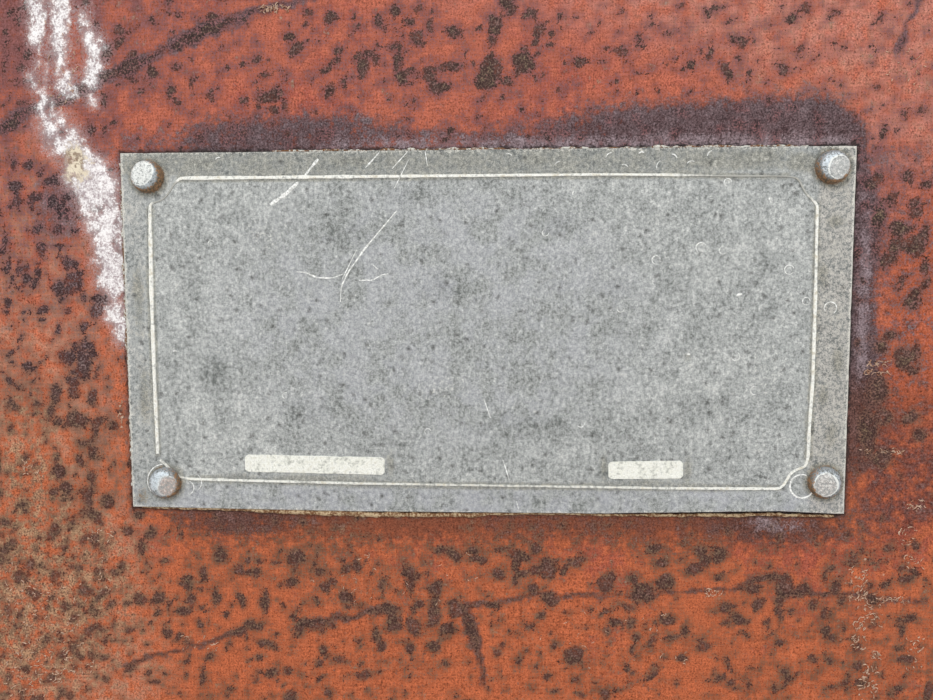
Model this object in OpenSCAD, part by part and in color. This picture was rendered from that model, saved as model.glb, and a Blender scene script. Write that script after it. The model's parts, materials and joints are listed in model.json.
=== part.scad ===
// Cover panel of a farm machine: a painted sheet on a mitred frame of rolled angles,
// with a blank data plate riveted to its front.
// X points right, Y points away from whoever reads the plate, and Z points up.
// The origin is the middle of the four fixing holes, in the back face of the frame's face legs.

/* [Cover sheet] */
// Width of the cover sheet
sheet_w = 300; // [260:1:600]
// Height of the cover sheet
sheet_h = 240; // [180:1:500]
// Thickness of the cover sheet
sheet_t = 2; // [1:0.25:4]

/* [Frame angles] */
// Length of each leg of the rolled angles
angle_leg = 25; // [20:1:40]
// Thickness of the legs
angle_t = 3; // [2:0.5:5]
// Radius of the fillet inside the angle
angle_root_r = 3; // [1:0.5:4]
// Radius of the legs' inner toes
angle_toe_r = 1; // [0.5:0.25:1.5]

/* [Fixing holes] */
// Diameter of the holes for the fixing bolts
fixing_hole_d = 9; // [5:0.5:11]
// Distance from a side edge of the sheet to the nearest holes
fixing_from_side = 30; // [24:1:60]
// Distance from the top or bottom edge of the sheet to the nearest holes
fixing_from_end = 12.5; // [10:0.5:15]

/* [Welds] */
// Leg of the fillet welds
weld_leg = 2; // [1:0.25:3]
// Length of one stitch weld
weld_len = 25; // [10:1:40]
// Distance from one stitch weld to the next, middle to middle
weld_pitch = 75; // [50:1:100]
// Least bare length between the last stitch and the frame's corner
weld_corner_gap = 10; // [5:1:20]

/* [Data plate] */
// Width of the data plate
plate_w = 160; // [120:1:200]
// Height of the data plate
plate_h = 80; // [60:1:120]
// Thickness of the data plate
plate_t = 1; // [0.5:0.1:2]
// Radius of the data plate's corners
plate_corner_r = 1; // [0.5:0.25:3]
// Height of the border line and the number fields above the plate
relief_t = 0.2; // [0.1:0.05:0.5]

/* [Border line] */
// Width of the border line
line_w = 0.9; // [0.5:0.1:2]
// Distance from the plate's left edge to the border line
line_from_left = 6; // [4:0.1:10]
// Distance from the plate's right edge to the border line
line_from_right = 7.4; // [4:0.1:10]
// Distance from the plate's top edge to the border line
line_from_top = 5.5; // [4:0.1:10]
// Distance from the plate's bottom edge to the border line
line_from_bottom = 5.3; // [4:0.1:10]
// Radius of the scallops that take the border line round the rivets
scallop_r = 7.6; // [5:0.1:10]

/* [Number fields] */
// Height of both number fields
field_h = 4.4; // [3:0.1:6]
// Width of the long number field
long_field_w = 32; // [20:0.5:40]
// Middle of the long number field, left of the plate's middle
long_field_left = 37.4; // [30:0.1:40]
// Distance from the plate's bottom edge to the long number field
long_field_up = 8.2; // [7:0.1:20]
// Width of the short number field
short_field_w = 16.5; // [10:0.5:30]
// Middle of the short number field, right of the plate's middle
short_field_right = 36.5; // [20:0.1:40]
// Distance from the plate's bottom edge to the short number field
short_field_up = 7.3; // [7:0.1:20]

/* [Rivets] */
// Diameter of the rivets' shanks
rivet_d = 4; // [3:0.25:5]
// How much wider the rivet holes are than the shanks
rivet_hole_clearance = 0.2; // [0.1:0.05:0.5]
// Diameter of the rivet heads
rivet_head_d = 7.1; // [6.5:0.1:9]
// Height of the rivet heads
rivet_head_h = 2.4; // [1.5:0.1:2.8]
// Diameter of the flat that the hammer left on the front heads
rivet_flat_d = 4.6; // [2:0.1:5]
// Distance from the plate's side edges to the rivets
rivet_from_side = 6; // [5:0.1:12]
// Distance from the plate's top and bottom edges to the rivets
rivet_from_end = 6; // [5:0.1:12]

/* [Hidden] */
$fn = 64;

// Depths along Y, from the front of the plate to the back edge of the frame
sheet_back = -angle_t;
sheet_front = sheet_back - sheet_t;
plate_front = sheet_front - plate_t;
frame_back = angle_leg - angle_t;

// Fixing holes, measured from the middle of the sheet
fixing_x = sheet_w / 2 - fixing_from_side;
fixing_z = sheet_h / 2 - fixing_from_end;

// Inner edges of the frame's face legs and inner faces of its back legs
opening_w = sheet_w - 2 * angle_leg;
opening_h = sheet_h - 2 * angle_leg;
inside_w = sheet_w - 2 * angle_t;
inside_h = sheet_h - 2 * angle_t;

// Rivets were drilled by hand: side, level, drift along X, drift along Z
rivet_rows = [
    [-1, 1, 0.2, 0.8],
    [1, 1, 0.9, 1.5],
    [-1, -1, 1.9, 0],
    [1, -1, 1.4, 1.2],
];
rivet_hole_d = rivet_d + rivet_hole_clearance;

// How far a cutter runs past the face that it cuts
cut_past = 1;

function rivet_x(row) = row[0] * (plate_w / 2 - rivet_from_side) + row[2];
function rivet_z(row) = row[1] * (plate_h / 2 - rivet_from_end) + row[3];

// Number of stitch welds that fit along one inner edge of the frame
function stitch_count(edge) =
    max(1, floor((edge - weld_len - 2 * weld_corner_gap) / weld_pitch) + 1);

// A straight round bar along Y, used as a cutter and as a shank
module bar_along_y(diameter, from_y, to_y) {
    translate([0, from_y, 0])
        rotate([-90, 0, 0])
            cylinder(d = diameter, h = to_y - from_y);
}

// A flat outline drawn in X and Z, given its thickness along Y
module slab(from_y, to_y) {
    translate([0, to_y, 0])
        rotate([90, 0, 0])
            linear_extrude(to_y - from_y)
                children();
}

// Holes for the fixing bolts, through everything between two depths
module fixing_holes(from_y, to_y) {
    for (side = [-1, 1], level = [-1, 1])
        translate([side * fixing_x, 0, level * fixing_z])
            bar_along_y(fixing_hole_d, from_y - cut_past, to_y + cut_past);
}

// Holes for the rivets, through everything between two depths
module rivet_holes(from_y, to_y) {
    for (row = rivet_rows)
        translate([rivet_x(row), 0, rivet_z(row)])
            bar_along_y(rivet_hole_d, from_y - cut_past, to_y + cut_past);
}

module cover_sheet() {
    color("#b9512f")
        difference() {
            translate([-sheet_w / 2, sheet_front, -sheet_h / 2])
                cube([sheet_w, sheet_t, sheet_h]);
            fixing_holes(sheet_front, sheet_back);
            rivet_holes(sheet_front, sheet_back);
        }
}

// Section of the rolled angle: X runs in from the panel's edge and Y runs back
module angle_section() {
    difference() {
        union() {
            square([angle_leg, angle_t]);
            square([angle_t, angle_leg]);
            translate([angle_t, angle_t])
                difference() {
                    square(angle_root_r);
                    translate([angle_root_r, angle_root_r])
                        circle(r = angle_root_r);
                }
        }
        toe_cut(angle_leg, angle_t);
        toe_cut(angle_t, angle_leg);
    }
}

// Rounds off the inner toe corner at the given place in the section
module toe_cut(corner_x, corner_y) {
    translate([corner_x - angle_toe_r, corner_y - angle_toe_r])
        difference() {
            square(angle_toe_r + cut_past);
            circle(r = angle_toe_r);
        }
}

// One angle along X with both ends mitred: its outer face lies at the given distance above the middle
module mitred_angle(length, reach) {
    intersection() {
        translate([-length / 2, sheet_back, reach])
            rotate([0, 90, 0])
                linear_extrude(length)
                    angle_section();
        slab(sheet_back - cut_past, frame_back + cut_past)
            polygon([
                [-length / 2, reach],
                [length / 2, reach],
                [length / 2 - angle_leg, reach - angle_leg],
                [angle_leg - length / 2, reach - angle_leg],
            ]);
    }
}

// The top or bottom angle: turned by 0 or 180 degrees, and drilled for the fixing bolts
module drilled_angle(turn) {
    difference() {
        rotate([0, turn, 0])
            mitred_angle(sheet_w, sheet_h / 2);
        fixing_holes(sheet_back, 0);
    }
}

module frame_top() {
    color("#8a4a30") drilled_angle(0);
}

module frame_bottom() {
    color("#8a4a30") drilled_angle(180);
}

module frame_right() {
    color("#8a4a30") rotate([0, 90, 0]) mitred_angle(sheet_h, sheet_w / 2);
}

module frame_left() {
    color("#8a4a30") rotate([0, -90, 0]) mitred_angle(sheet_h, sheet_w / 2);
}

// Stitch welds in a row along X, in the corner between a toe at the given height and the sheet
module stitch_row(edge, toe_z) {
    count = stitch_count(edge);
    for (place = [0 : count - 1])
        translate([(place - (count - 1) / 2) * weld_pitch - weld_len / 2, sheet_back, toe_z])
            rotate([90, 0, 90])
                linear_extrude(weld_len)
                    polygon([[0, 0], [weld_leg, 0], [0, -weld_leg]]);
}

// One weld along Y, in the inner corner between two back legs
module corner_weld(side, level) {
    corner_x = side * inside_w / 2;
    corner_z = level * inside_h / 2;
    slab(angle_root_r, frame_back - angle_toe_r)
        polygon([
            [corner_x, corner_z],
            [corner_x - side * weld_leg, corner_z],
            [corner_x, corner_z - level * weld_leg],
        ]);
}

module frame_welds() {
    color("#6b4a3c") {
        for (turn = [0, 180])
            rotate([0, turn, 0]) stitch_row(opening_w, opening_h / 2);
        for (turn = [90, -90])
            rotate([0, turn, 0]) stitch_row(opening_h, opening_w / 2);
        for (side = [-1, 1], level = [-1, 1])
            corner_weld(side, level);
    }
}

// Outline of the bare plate, with round corners
module plate_outline() {
    inner_w = plate_w - 2 * plate_corner_r;
    inner_h = plate_h - 2 * plate_corner_r;
    square([plate_w, inner_h], center = true);
    square([inner_w, plate_h], center = true);
    for (side = [-1, 1], level = [-1, 1])
        translate([side * inner_w / 2, level * inner_h / 2])
            circle(r = plate_corner_r);
}

// Area inside the border line, drawn in from its outer edge by the given amount
module border_area(inset) {
    left = line_from_left - plate_w / 2 + inset;
    right = plate_w / 2 - line_from_right - inset;
    bottom = line_from_bottom - plate_h / 2 + inset;
    top = plate_h / 2 - line_from_top - inset;
    difference() {
        translate([left, bottom])
            square([right - left, top - bottom]);
        for (row = rivet_rows)
            translate([rivet_x(row), rivet_z(row)])
                circle(r = scallop_r + inset);
    }
}

module border_line() {
    difference() {
        border_area(0);
        border_area(line_w);
    }
}

// One number field: the middle of its width, and how far it stands above the plate's bottom edge
module number_field(width, middle_x, up) {
    translate([middle_x - width / 2, up - plate_h / 2])
        square([width, field_h]);
}

module data_plate() {
    color("#9a9c9a")
        difference() {
            union() {
                slab(plate_front, sheet_front) plate_outline();
                slab(plate_front - relief_t, plate_front) {
                    border_line();
                    number_field(long_field_w, -long_field_left, long_field_up);
                    number_field(short_field_w, short_field_right, short_field_up);
                }
            }
            rivet_holes(plate_front, sheet_front);
        }
}

// Half the section of a rivet head: a round dome, cut off flat where the hammer met it
module head_section(flat_r) {
    head_r = rivet_head_d / 2;
    middle = (flat_r * flat_r + rivet_head_h * rivet_head_h - head_r * head_r) / (2 * rivet_head_h);
    intersection() {
        translate([0, middle])
            circle(r = sqrt(head_r * head_r + middle * middle));
        square([head_r, rivet_head_h]);
    }
}

// One set rivet: a flattened head on the plate, a shank, and a round head behind the sheet
module plate_rivet(row) {
    color("#b4b8b8")
        translate([rivet_x(row), 0, rivet_z(row)]) {
            translate([0, plate_front, 0])
                rotate([90, 0, 0])
                    rotate_extrude() head_section(rivet_flat_d / 2);
            bar_along_y(rivet_d, plate_front, sheet_back);
            translate([0, sheet_back, 0])
                rotate([-90, 0, 0])
                    rotate_extrude() head_section(0);
        }
}

module rivet_top_left() {
    plate_rivet(rivet_rows[0]);
}

module rivet_top_right() {
    plate_rivet(rivet_rows[1]);
}

module rivet_bottom_left() {
    plate_rivet(rivet_rows[2]);
}

module rivet_bottom_right() {
    plate_rivet(rivet_rows[3]);
}

cover_sheet();
frame_top();
frame_bottom();
frame_left();
frame_right();
frame_welds();
data_plate();
rivet_top_left();
rivet_top_right();
rivet_bottom_left();
rivet_bottom_right();
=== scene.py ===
import bpy
import json
import math
import numpy as np
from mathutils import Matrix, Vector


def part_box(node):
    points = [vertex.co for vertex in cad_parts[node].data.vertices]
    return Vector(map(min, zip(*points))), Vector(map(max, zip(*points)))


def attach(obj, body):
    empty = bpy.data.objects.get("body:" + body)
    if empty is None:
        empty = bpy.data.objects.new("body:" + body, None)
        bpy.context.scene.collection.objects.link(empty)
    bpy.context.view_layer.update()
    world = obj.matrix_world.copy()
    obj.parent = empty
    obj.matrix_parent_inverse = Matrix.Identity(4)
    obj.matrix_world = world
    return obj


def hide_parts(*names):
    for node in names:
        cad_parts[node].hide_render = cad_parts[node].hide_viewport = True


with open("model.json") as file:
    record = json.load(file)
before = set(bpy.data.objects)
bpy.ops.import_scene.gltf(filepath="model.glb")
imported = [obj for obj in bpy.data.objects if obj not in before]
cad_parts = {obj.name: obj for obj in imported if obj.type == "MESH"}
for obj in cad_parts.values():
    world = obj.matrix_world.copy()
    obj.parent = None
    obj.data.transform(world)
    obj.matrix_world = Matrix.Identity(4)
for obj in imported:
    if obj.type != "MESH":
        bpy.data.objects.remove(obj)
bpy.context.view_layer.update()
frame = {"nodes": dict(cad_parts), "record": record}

# Sizes are millimetres, colours are what a screen shows. X runs right, Y away from the camera, Z up.
metre = 1000.0


def boxOf(node):
    low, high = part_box(node)
    return np.array(low) * metre, np.array(high) * metre


sheetLow, sheetHigh = boxOf("cover_sheet")
plateLow, plateHigh = boxOf("data_plate")
reliefHeight = 0.2  # border line and number fields stand this far off the plate
plateFront = plateLow[1] + reliefHeight
rivetEnds = ("top_left", "top_right", "bottom_left", "bottom_right")
rivetBoxes = {end: boxOf("rivet_" + end) for end in rivetEnds}
rivetMiddles = {end: (low + high) / 2 for end, (low, high) in rivetBoxes.items()}
print("stage: frame loaded")


# Camera at the photograph's place: in front of the plate, a little right of and above its middle
cameraLook = {
    "right": 4.48,
    "up": 10.52,
    "away": 176.46,
    "panLeft": 2.51,
    "tiltDown": 4.59,
    "roll": 0.16,
    "lens": 30.87,
    "clip": (5, 20000),
}


def makeCamera(look):
    data = bpy.data.cameras.new("camera")
    data.lens = look["lens"]
    data.clip_start, data.clip_end = (limit / metre for limit in look["clip"])
    camera = bpy.data.objects.new("camera", data)
    camera.location = np.array([look["right"], plateFront - look["away"], look["up"]]) / metre
    turns = (90 - look["tiltDown"], look["roll"], look["panLeft"])
    camera.rotation_euler = [math.radians(turn) for turn in turns]
    bpy.context.scene.collection.objects.link(camera)
    bpy.context.scene.camera = camera


makeCamera(cameraLook)


# Soft studio light: a wide panel above and in front, weaker ones to the right and behind, pale surround
lightLook = {
    "surround": 0.52,
    "panels": {
        "keyLight": {"place": (-350, -900, 900), "size": 1000, "power": 10.8},
        "fillLight": {"place": (760, -760, 330), "size": 560, "power": 2.95},
        "backLight": {"place": (-300, 900, 700), "size": 900, "power": 7.5},
    },
}


def makeLights(look):
    world = bpy.data.worlds.new("surround")
    world.use_nodes = True
    world.node_tree.nodes["Background"].inputs["Color"].default_value = (1, 1, 1, 1)
    world.node_tree.nodes["Background"].inputs["Strength"].default_value = look["surround"]
    bpy.context.scene.world = world
    for name, panel in look["panels"].items():
        data = bpy.data.lights.new(name, "AREA")
        data.size = panel["size"] / metre
        data.energy = panel["power"]
        light = bpy.data.objects.new(name, data)
        light.location = np.array(panel["place"]) / metre
        light.rotation_euler = (-light.location).to_track_quat("-Z", "Y").to_euler()
        bpy.context.scene.collection.objects.link(light)
    bpy.context.scene.view_settings.view_transform = "Standard"


makeLights(lightLook)
print("stage: camera and lights")


# Soft steps, noise, strokes and spots on flat coordinates, all on whole arrays
latticeCells = 128  # noise and scattered spots repeat after so many cells
farOff = 50.0  # a distance that counts as nowhere near


def ease(t):
    # From 0 to 1 and level at both ends: three times t squared, less twice t cubed
    t = np.clip(t, 0, 1)
    return t * t * (3 - 2 * t)


def fade(value, start, end):
    # 0 where the value is at start, 1 where it is at end, eased between them
    return ease((value - start) / (end - start))


def cloud(x, z, size, seed):
    # Random heights from 0 to 1 on a square lattice, eased from corner to corner of each cell
    cells = latticeCells
    heights = np.random.default_rng(seed).random((cells, cells))
    column, row = np.floor(x / size).astype(int), np.floor(z / size).astype(int)
    across, up = ease(x / size - column), ease(z / size - row)
    left, right = column % cells, (column + 1) % cells
    low, high = row % cells, (row + 1) % cells
    bottom = heights[low, left] * (1 - across) + heights[low, right] * across
    top = heights[high, left] * (1 - across) + heights[high, right] * across
    return bottom * (1 - up) + top * up


def rough(x, z, size, seed, layers=3):
    # Clouds around zero, each half the size and half the strength of the one before
    total = np.zeros(np.shape(x))
    for layer in range(layers):
        total = total + (cloud(x, z, size / 2**layer, seed + layer) - 0.5) / 2**layer
    return total


def strokeGap(x, z, strokes):
    # Distance outside strokes of changing width: for each leg the distance to its line less the
    # half width there, and the least over all legs; inside a stroke it is negative
    nearest = np.full(np.shape(x), farOff)
    for stations in strokes:
        for (startX, startZ, startHalf), (endX, endZ, endHalf) in zip(stations, stations[1:]):
            runX, runZ = endX - startX, endZ - startZ
            along = ((x - startX) * runX + (z - startZ) * runZ) / (runX**2 + runZ**2)
            along = np.clip(along, 0, 1)
            gap = np.hypot(x - startX - along * runX, z - startZ - along * runZ)
            nearest = np.minimum(nearest, gap - startHalf - along * (endHalf - startHalf))
    return nearest


def spotGap(x, z, spots):
    # Distance outside the nearest oval spot, measured through its shorter half width. A spot's
    # fifth value turns it by so many degrees.
    nearest = np.full(np.shape(x), farOff)
    for middleX, middleZ, halfX, halfZ, *lean in spots:
        turn = math.radians(lean[0]) if lean else 0.0
        along = (x - middleX) * math.cos(turn) + (z - middleZ) * math.sin(turn)
        across = (z - middleZ) * math.cos(turn) - (x - middleX) * math.sin(turn)
        reach = np.hypot(along / halfX, across / halfZ)
        nearest = np.minimum(nearest, (reach - 1) * min(halfX, halfZ))
    return nearest


def scatterGap(x, z, cell, largest, share, seed):
    # One round spot at a random place in each square cell, where the share there allows it:
    # distance outside the nearest spot's rim, looked for in the nine cells around each point
    cells = latticeCells
    rng = np.random.default_rng(seed)
    offX, offZ, chance, scale = rng.random((4, cells, cells))
    column, row = np.floor(x / cell).astype(int), np.floor(z / cell).astype(int)
    nearest = np.full(np.shape(x), farOff)
    for sideways in (-1, 0, 1):
        for upwards in (-1, 0, 1):
            i, j = column + sideways, row + upwards
            pick = (j % cells, i % cells)
            middleX, middleZ = (i + offX[pick]) * cell, (j + offZ[pick]) * cell
            radius = largest * (0.35 + 0.65 * scale[pick] ** 2)
            gap = np.hypot(x - middleX, z - middleZ) - radius
            nearest = np.where(chance[pick] < share, np.minimum(nearest, gap), nearest)
    return nearest


def bandMask(along, outward, edge, stations, start, end):
    # A band beside the plate's edge. Its outer limit and strength run straight between stations,
    # and it fades as the share of the way from edge to limit goes from start to end.
    places, limits, strengths = np.array(stations, float).T
    limit, strength = np.interp(along, places, limits), np.interp(along, places, strengths)
    return strength * fade((outward - edge) / (limit - edge), start, end)


def patch(x, z, place):
    # A soft oval: with distance counted in half widths, 0 at the outer reach and 1 at the inner
    middleX, middleZ, halfX, halfZ, outer, inner = place
    return fade(np.hypot((x - middleX) / halfX, (z - middleZ) / halfZ), outer, inner)


def strongest(*masks):
    # The largest of the masks at each point
    return np.maximum.reduce(masks)


# Closed plates with round holes, as a fine grid in front and a three times coarser one behind
def gridLines(marks, steps):
    # Lines through all the marks: each stretch is cut into equal cells near the asked step, in threes
    lines = [marks[0]]
    for start, end, step in zip(marks, marks[1:], steps):
        cells = 3 * max(1, round((end - start) / step / 3))
        lines.extend(np.linspace(start, end, cells + 1)[1:])
    return np.array(lines)


def ringAround(left, right, low, high):
    # Column and row of the lines that go once round a block of cells, anticlockwise from low left
    across, up = np.arange(left, right), np.arange(low, high)
    columns = [across, np.full(len(up), right), across[::-1] + 1, np.full(len(up), left)]
    rows = [np.full(len(across), low), up, np.full(len(across), high), up[::-1] + 1]
    return np.concatenate(columns), np.concatenate(rows)


def stitch(fine, coarse):
    # Six-sided faces between a ring and one with a third as many points, which run the same way
    third = np.arange(len(coarse)) * 3
    parts = [fine[(third + k) % len(fine)] for k in range(4)]
    return np.stack([*parts, np.roll(coarse, -1), coarse], 1)


def holedPlate(linesX, linesZ, holes):
    # Returns x, z, which points are in front, and the faces of a closed plate. Cells near a hole are
    # left out, and rings run from that block's outline to the circle in equal steps.
    wide, tall = len(linesX), len(linesZ)
    gridX, gridZ = np.meshgrid(linesX, linesZ)
    coarseX, coarseZ = np.meshgrid(linesX[::3], linesZ[::3])
    x, z = [gridX.ravel(), coarseX.ravel()], [gridZ.ravel(), coarseZ.ravel()]
    front = [np.ones(gridX.size), np.zeros(coarseX.size)]
    frontIndex = np.arange(gridX.size).reshape(gridX.shape)
    backIndex = gridX.size + np.arange(coarseX.size).reshape(coarseX.shape)
    keep = np.ones((tall - 1, wide - 1), bool)
    faces = []
    count = gridX.size + coarseX.size
    rings = 4
    for middleX, middleZ, radius in holes:
        margin = radius + max(0.6, 0.25 * radius)
        left = 3 * (np.searchsorted(linesX[::3], middleX - margin, "right") - 1)
        right = 3 * np.searchsorted(linesX[::3], middleX + margin)
        low = 3 * (np.searchsorted(linesZ[::3], middleZ - margin, "right") - 1)
        high = 3 * np.searchsorted(linesZ[::3], middleZ + margin)
        keep[low:high, left:right] = False
        columns, rows = ringAround(left, right, low, high)
        outlineX, outlineZ = linesX[columns], linesZ[rows]
        turn = np.arctan2(outlineZ - middleZ, outlineX - middleX)
        circleX = middleX + radius * np.cos(turn)
        circleZ = middleZ + radius * np.sin(turn)
        outer = frontIndex[rows, columns]
        for ring in range(1, rings + 2):
            share = min(ring / rings, 1)
            x.append(outlineX * (1 - share) + circleX * share)
            z.append(outlineZ * (1 - share) + circleZ * share)
            front.append(np.full(len(outer), float(ring <= rings)))
            inner = count + np.arange(len(outer))
            count += len(outer)
            faces.append(np.stack([outer, np.roll(outer, -1), np.roll(inner, -1), inner], 1))
            outer = inner
        columns, rows = ringAround(left // 3, right // 3, low // 3, high // 3)
        faces.append(stitch(outer, backIndex[rows, columns]))
    cells = [frontIndex[:-1, :-1], frontIndex[:-1, 1:], frontIndex[1:, 1:], frontIndex[1:, :-1]]
    faces.append(np.stack([corner[keep] for corner in cells], 1))
    cells = [backIndex[:-1, :-1], backIndex[1:, :-1], backIndex[1:, 1:], backIndex[:-1, 1:]]
    faces.append(np.stack([corner[keep[::3, ::3]] for corner in cells], 1))
    rim = frontIndex[ringAround(0, wide - 1, 0, tall - 1)[::-1]]
    backRim = backIndex[ringAround(0, (wide - 1) // 3, 0, (tall - 1) // 3)[::-1]]
    faces.append(stitch(rim, backRim)[:, ::-1])
    return np.concatenate(x), np.concatenate(z), np.concatenate(front), faces


def edgeGap(x, z, low, high):
    # Distance inwards from the nearest edge of a rectangle
    return np.minimum(np.minimum(x - low[0], high[0] - x), np.minimum(z - low[2], high[2] - z))


def roundedEdge(x, z, low, high, radius):
    # How far a face drops back near its edge to round it: a quarter circle of the given radius
    inward = np.clip(radius - edgeGap(x, z, low, high), 0, radius)
    return radius - np.sqrt(radius**2 - inward**2)


# Long pieces: closed loops of points carried along a path, with a fan of triangles at each end
def tube(loops):
    stations, around = loops.shape[:2]
    points = np.concatenate([loops.reshape(-1, 3), loops[:1].mean(1), loops[-1:].mean(1)])
    index = np.arange(stations * around).reshape(stations, around)
    turned = np.roll(index, -1, 1)
    corners = [index[:-1], turned[:-1], turned[1:], index[1:]]
    quads = np.stack([corner.ravel() for corner in corners], 1)
    start = np.stack([turned[0], index[0], np.full(around, stations * around)], 1)
    end = np.stack([index[-1], turned[-1], np.full(around, stations * around + 1)], 1)
    return points, [quads, np.concatenate([start, end])]


def joined(parts):
    # Several point and face sets as one, each part's face numbers raised by the points before it
    points, quads, triangles = [], [], []
    count = 0
    for partPoints, (partQuads, partTriangles) in parts:
        points.append(partPoints)
        quads.append(partQuads + count)
        triangles.append(partTriangles + count)
        count += len(partPoints)
    return np.concatenate(points), [np.concatenate(quads), np.concatenate(triangles)]


def volumeOf(points, faces):
    # Signed volume of a closed mesh: a sixth of the sum of corner products over all its triangles
    total = 0.0
    for group in faces:
        first = points[group[:, 0]]
        for second, third in zip(group.T[1:-1], group.T[2:]):
            total += np.einsum("ij,ij->i", first, np.cross(points[second], points[third])).sum()
    return total / 6


def makePiece(name, points, faces, material, slot, stands=(), attributes=None, sharp=50):
    # One mesh from millimetre points and arrays of faces, with a value per point for each attribute
    if volumeOf(points, faces) < 0:
        faces = [group[:, ::-1] for group in faces]
    mesh = bpy.data.meshes.new(name)
    rows = [row for group in faces for row in group.tolist()]
    mesh.from_pydata(np.asarray(points) / metre, [], rows)
    for key, values in (attributes or {}).items():
        layer = mesh.attributes.new(key, "FLOAT", "POINT")
        layer.data.foreach_set("value", np.asarray(values, np.float32))
    mesh.shade_smooth()
    mesh.set_sharp_from_angle(angle=math.radians(sharp))
    mesh.materials.append(material)
    piece = bpy.data.objects.new(name, mesh)
    bpy.context.scene.collection.objects.link(piece)
    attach(piece, "root")
    if stands:
        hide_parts(*stands)


def ridge(path, halfWidths, heights, depthAt, sunk=0.1, shoulder=0.6):
    # A low closed ridge on the face at depthAt(x, z): its five-cornered section stands square to
    # the path, half a width to each side, and its foot is sunk into the face
    path = np.asarray(path, float)
    run = np.gradient(path, axis=0)
    run = run / np.hypot(run[:, :1], run[:, 1:])
    side = np.stack([-run[:, 1], run[:, 0]], 1)
    halfWidths = np.broadcast_to(halfWidths, len(path))[:, None, None]
    heights = np.broadcast_to(heights, len(path))[:, None]
    shares = np.array([-1, -shoulder, shoulder, 1, 0])
    rises = np.array([-1, 1, 1, -1, -1])
    flat = path[:, None, :] + side[:, None, :] * shares[None, :, None] * halfWidths
    depth = depthAt(flat[..., 0], flat[..., 1])
    depth = depth - np.where(rises > 0, heights, -sunk)
    return tube(np.stack([flat[..., 0], depth, flat[..., 1]], 2))


def smoothPath(corners, step):
    # Points at equal steps along the straight legs between corners, with the corners worn round
    corners = np.asarray(corners, float)
    lengths = np.r_[0, np.cumsum(np.hypot(*np.diff(corners, axis=0).T))]
    count = max(3, int(lengths[-1] / step) + 1)
    places = np.linspace(0, lengths[-1], count)
    path = np.stack([np.interp(places, lengths, column) for column in corners.T], 1)
    for _ in range(2):
        path[1:-1] = (path[:-2] + 2 * path[1:-1] + path[2:]) / 4
    return path


def bentPath(x, z, length, bow, turn, count):
    # A short arc round a point: u runs from -1 to 1 along it, and it stands bow * length * (1 - u^2)
    # off its chord, which is turned by so many radians
    along = np.linspace(-1, 1, count)
    offset = bow * length * (1 - along**2)
    across = x + length * along * math.cos(turn) - offset * math.sin(turn)
    up = z + length * along * math.sin(turn) + offset * math.cos(turn)
    return np.stack([across, up], 1)


def tapered(count, widest):
    # Half widths along a run: thin at both ends
    return widest * (0.25 + 0.75 * np.sin(np.pi * np.linspace(0.06, 0.94, count)) ** 0.6)


# Shader maths: wires add Math nodes, and every other node comes from the shader's node method
class Wire:
    def __init__(self, shader, socket):
        self.shader = shader
        self.socket = socket

    def other(self, name):
        # Another output of the same node
        return Wire(self.shader, self.socket.node.outputs[name])

    def __add__(self, other):
        return self.shader.maths("ADD", self, other)

    def __radd__(self, other):
        return self.shader.maths("ADD", other, self)

    def __sub__(self, other):
        return self.shader.maths("SUBTRACT", self, other)

    def __rsub__(self, other):
        return self.shader.maths("SUBTRACT", other, self)

    def __mul__(self, other):
        return self.shader.maths("MULTIPLY", self, other)

    def __rmul__(self, other):
        return self.shader.maths("MULTIPLY", other, self)


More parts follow.
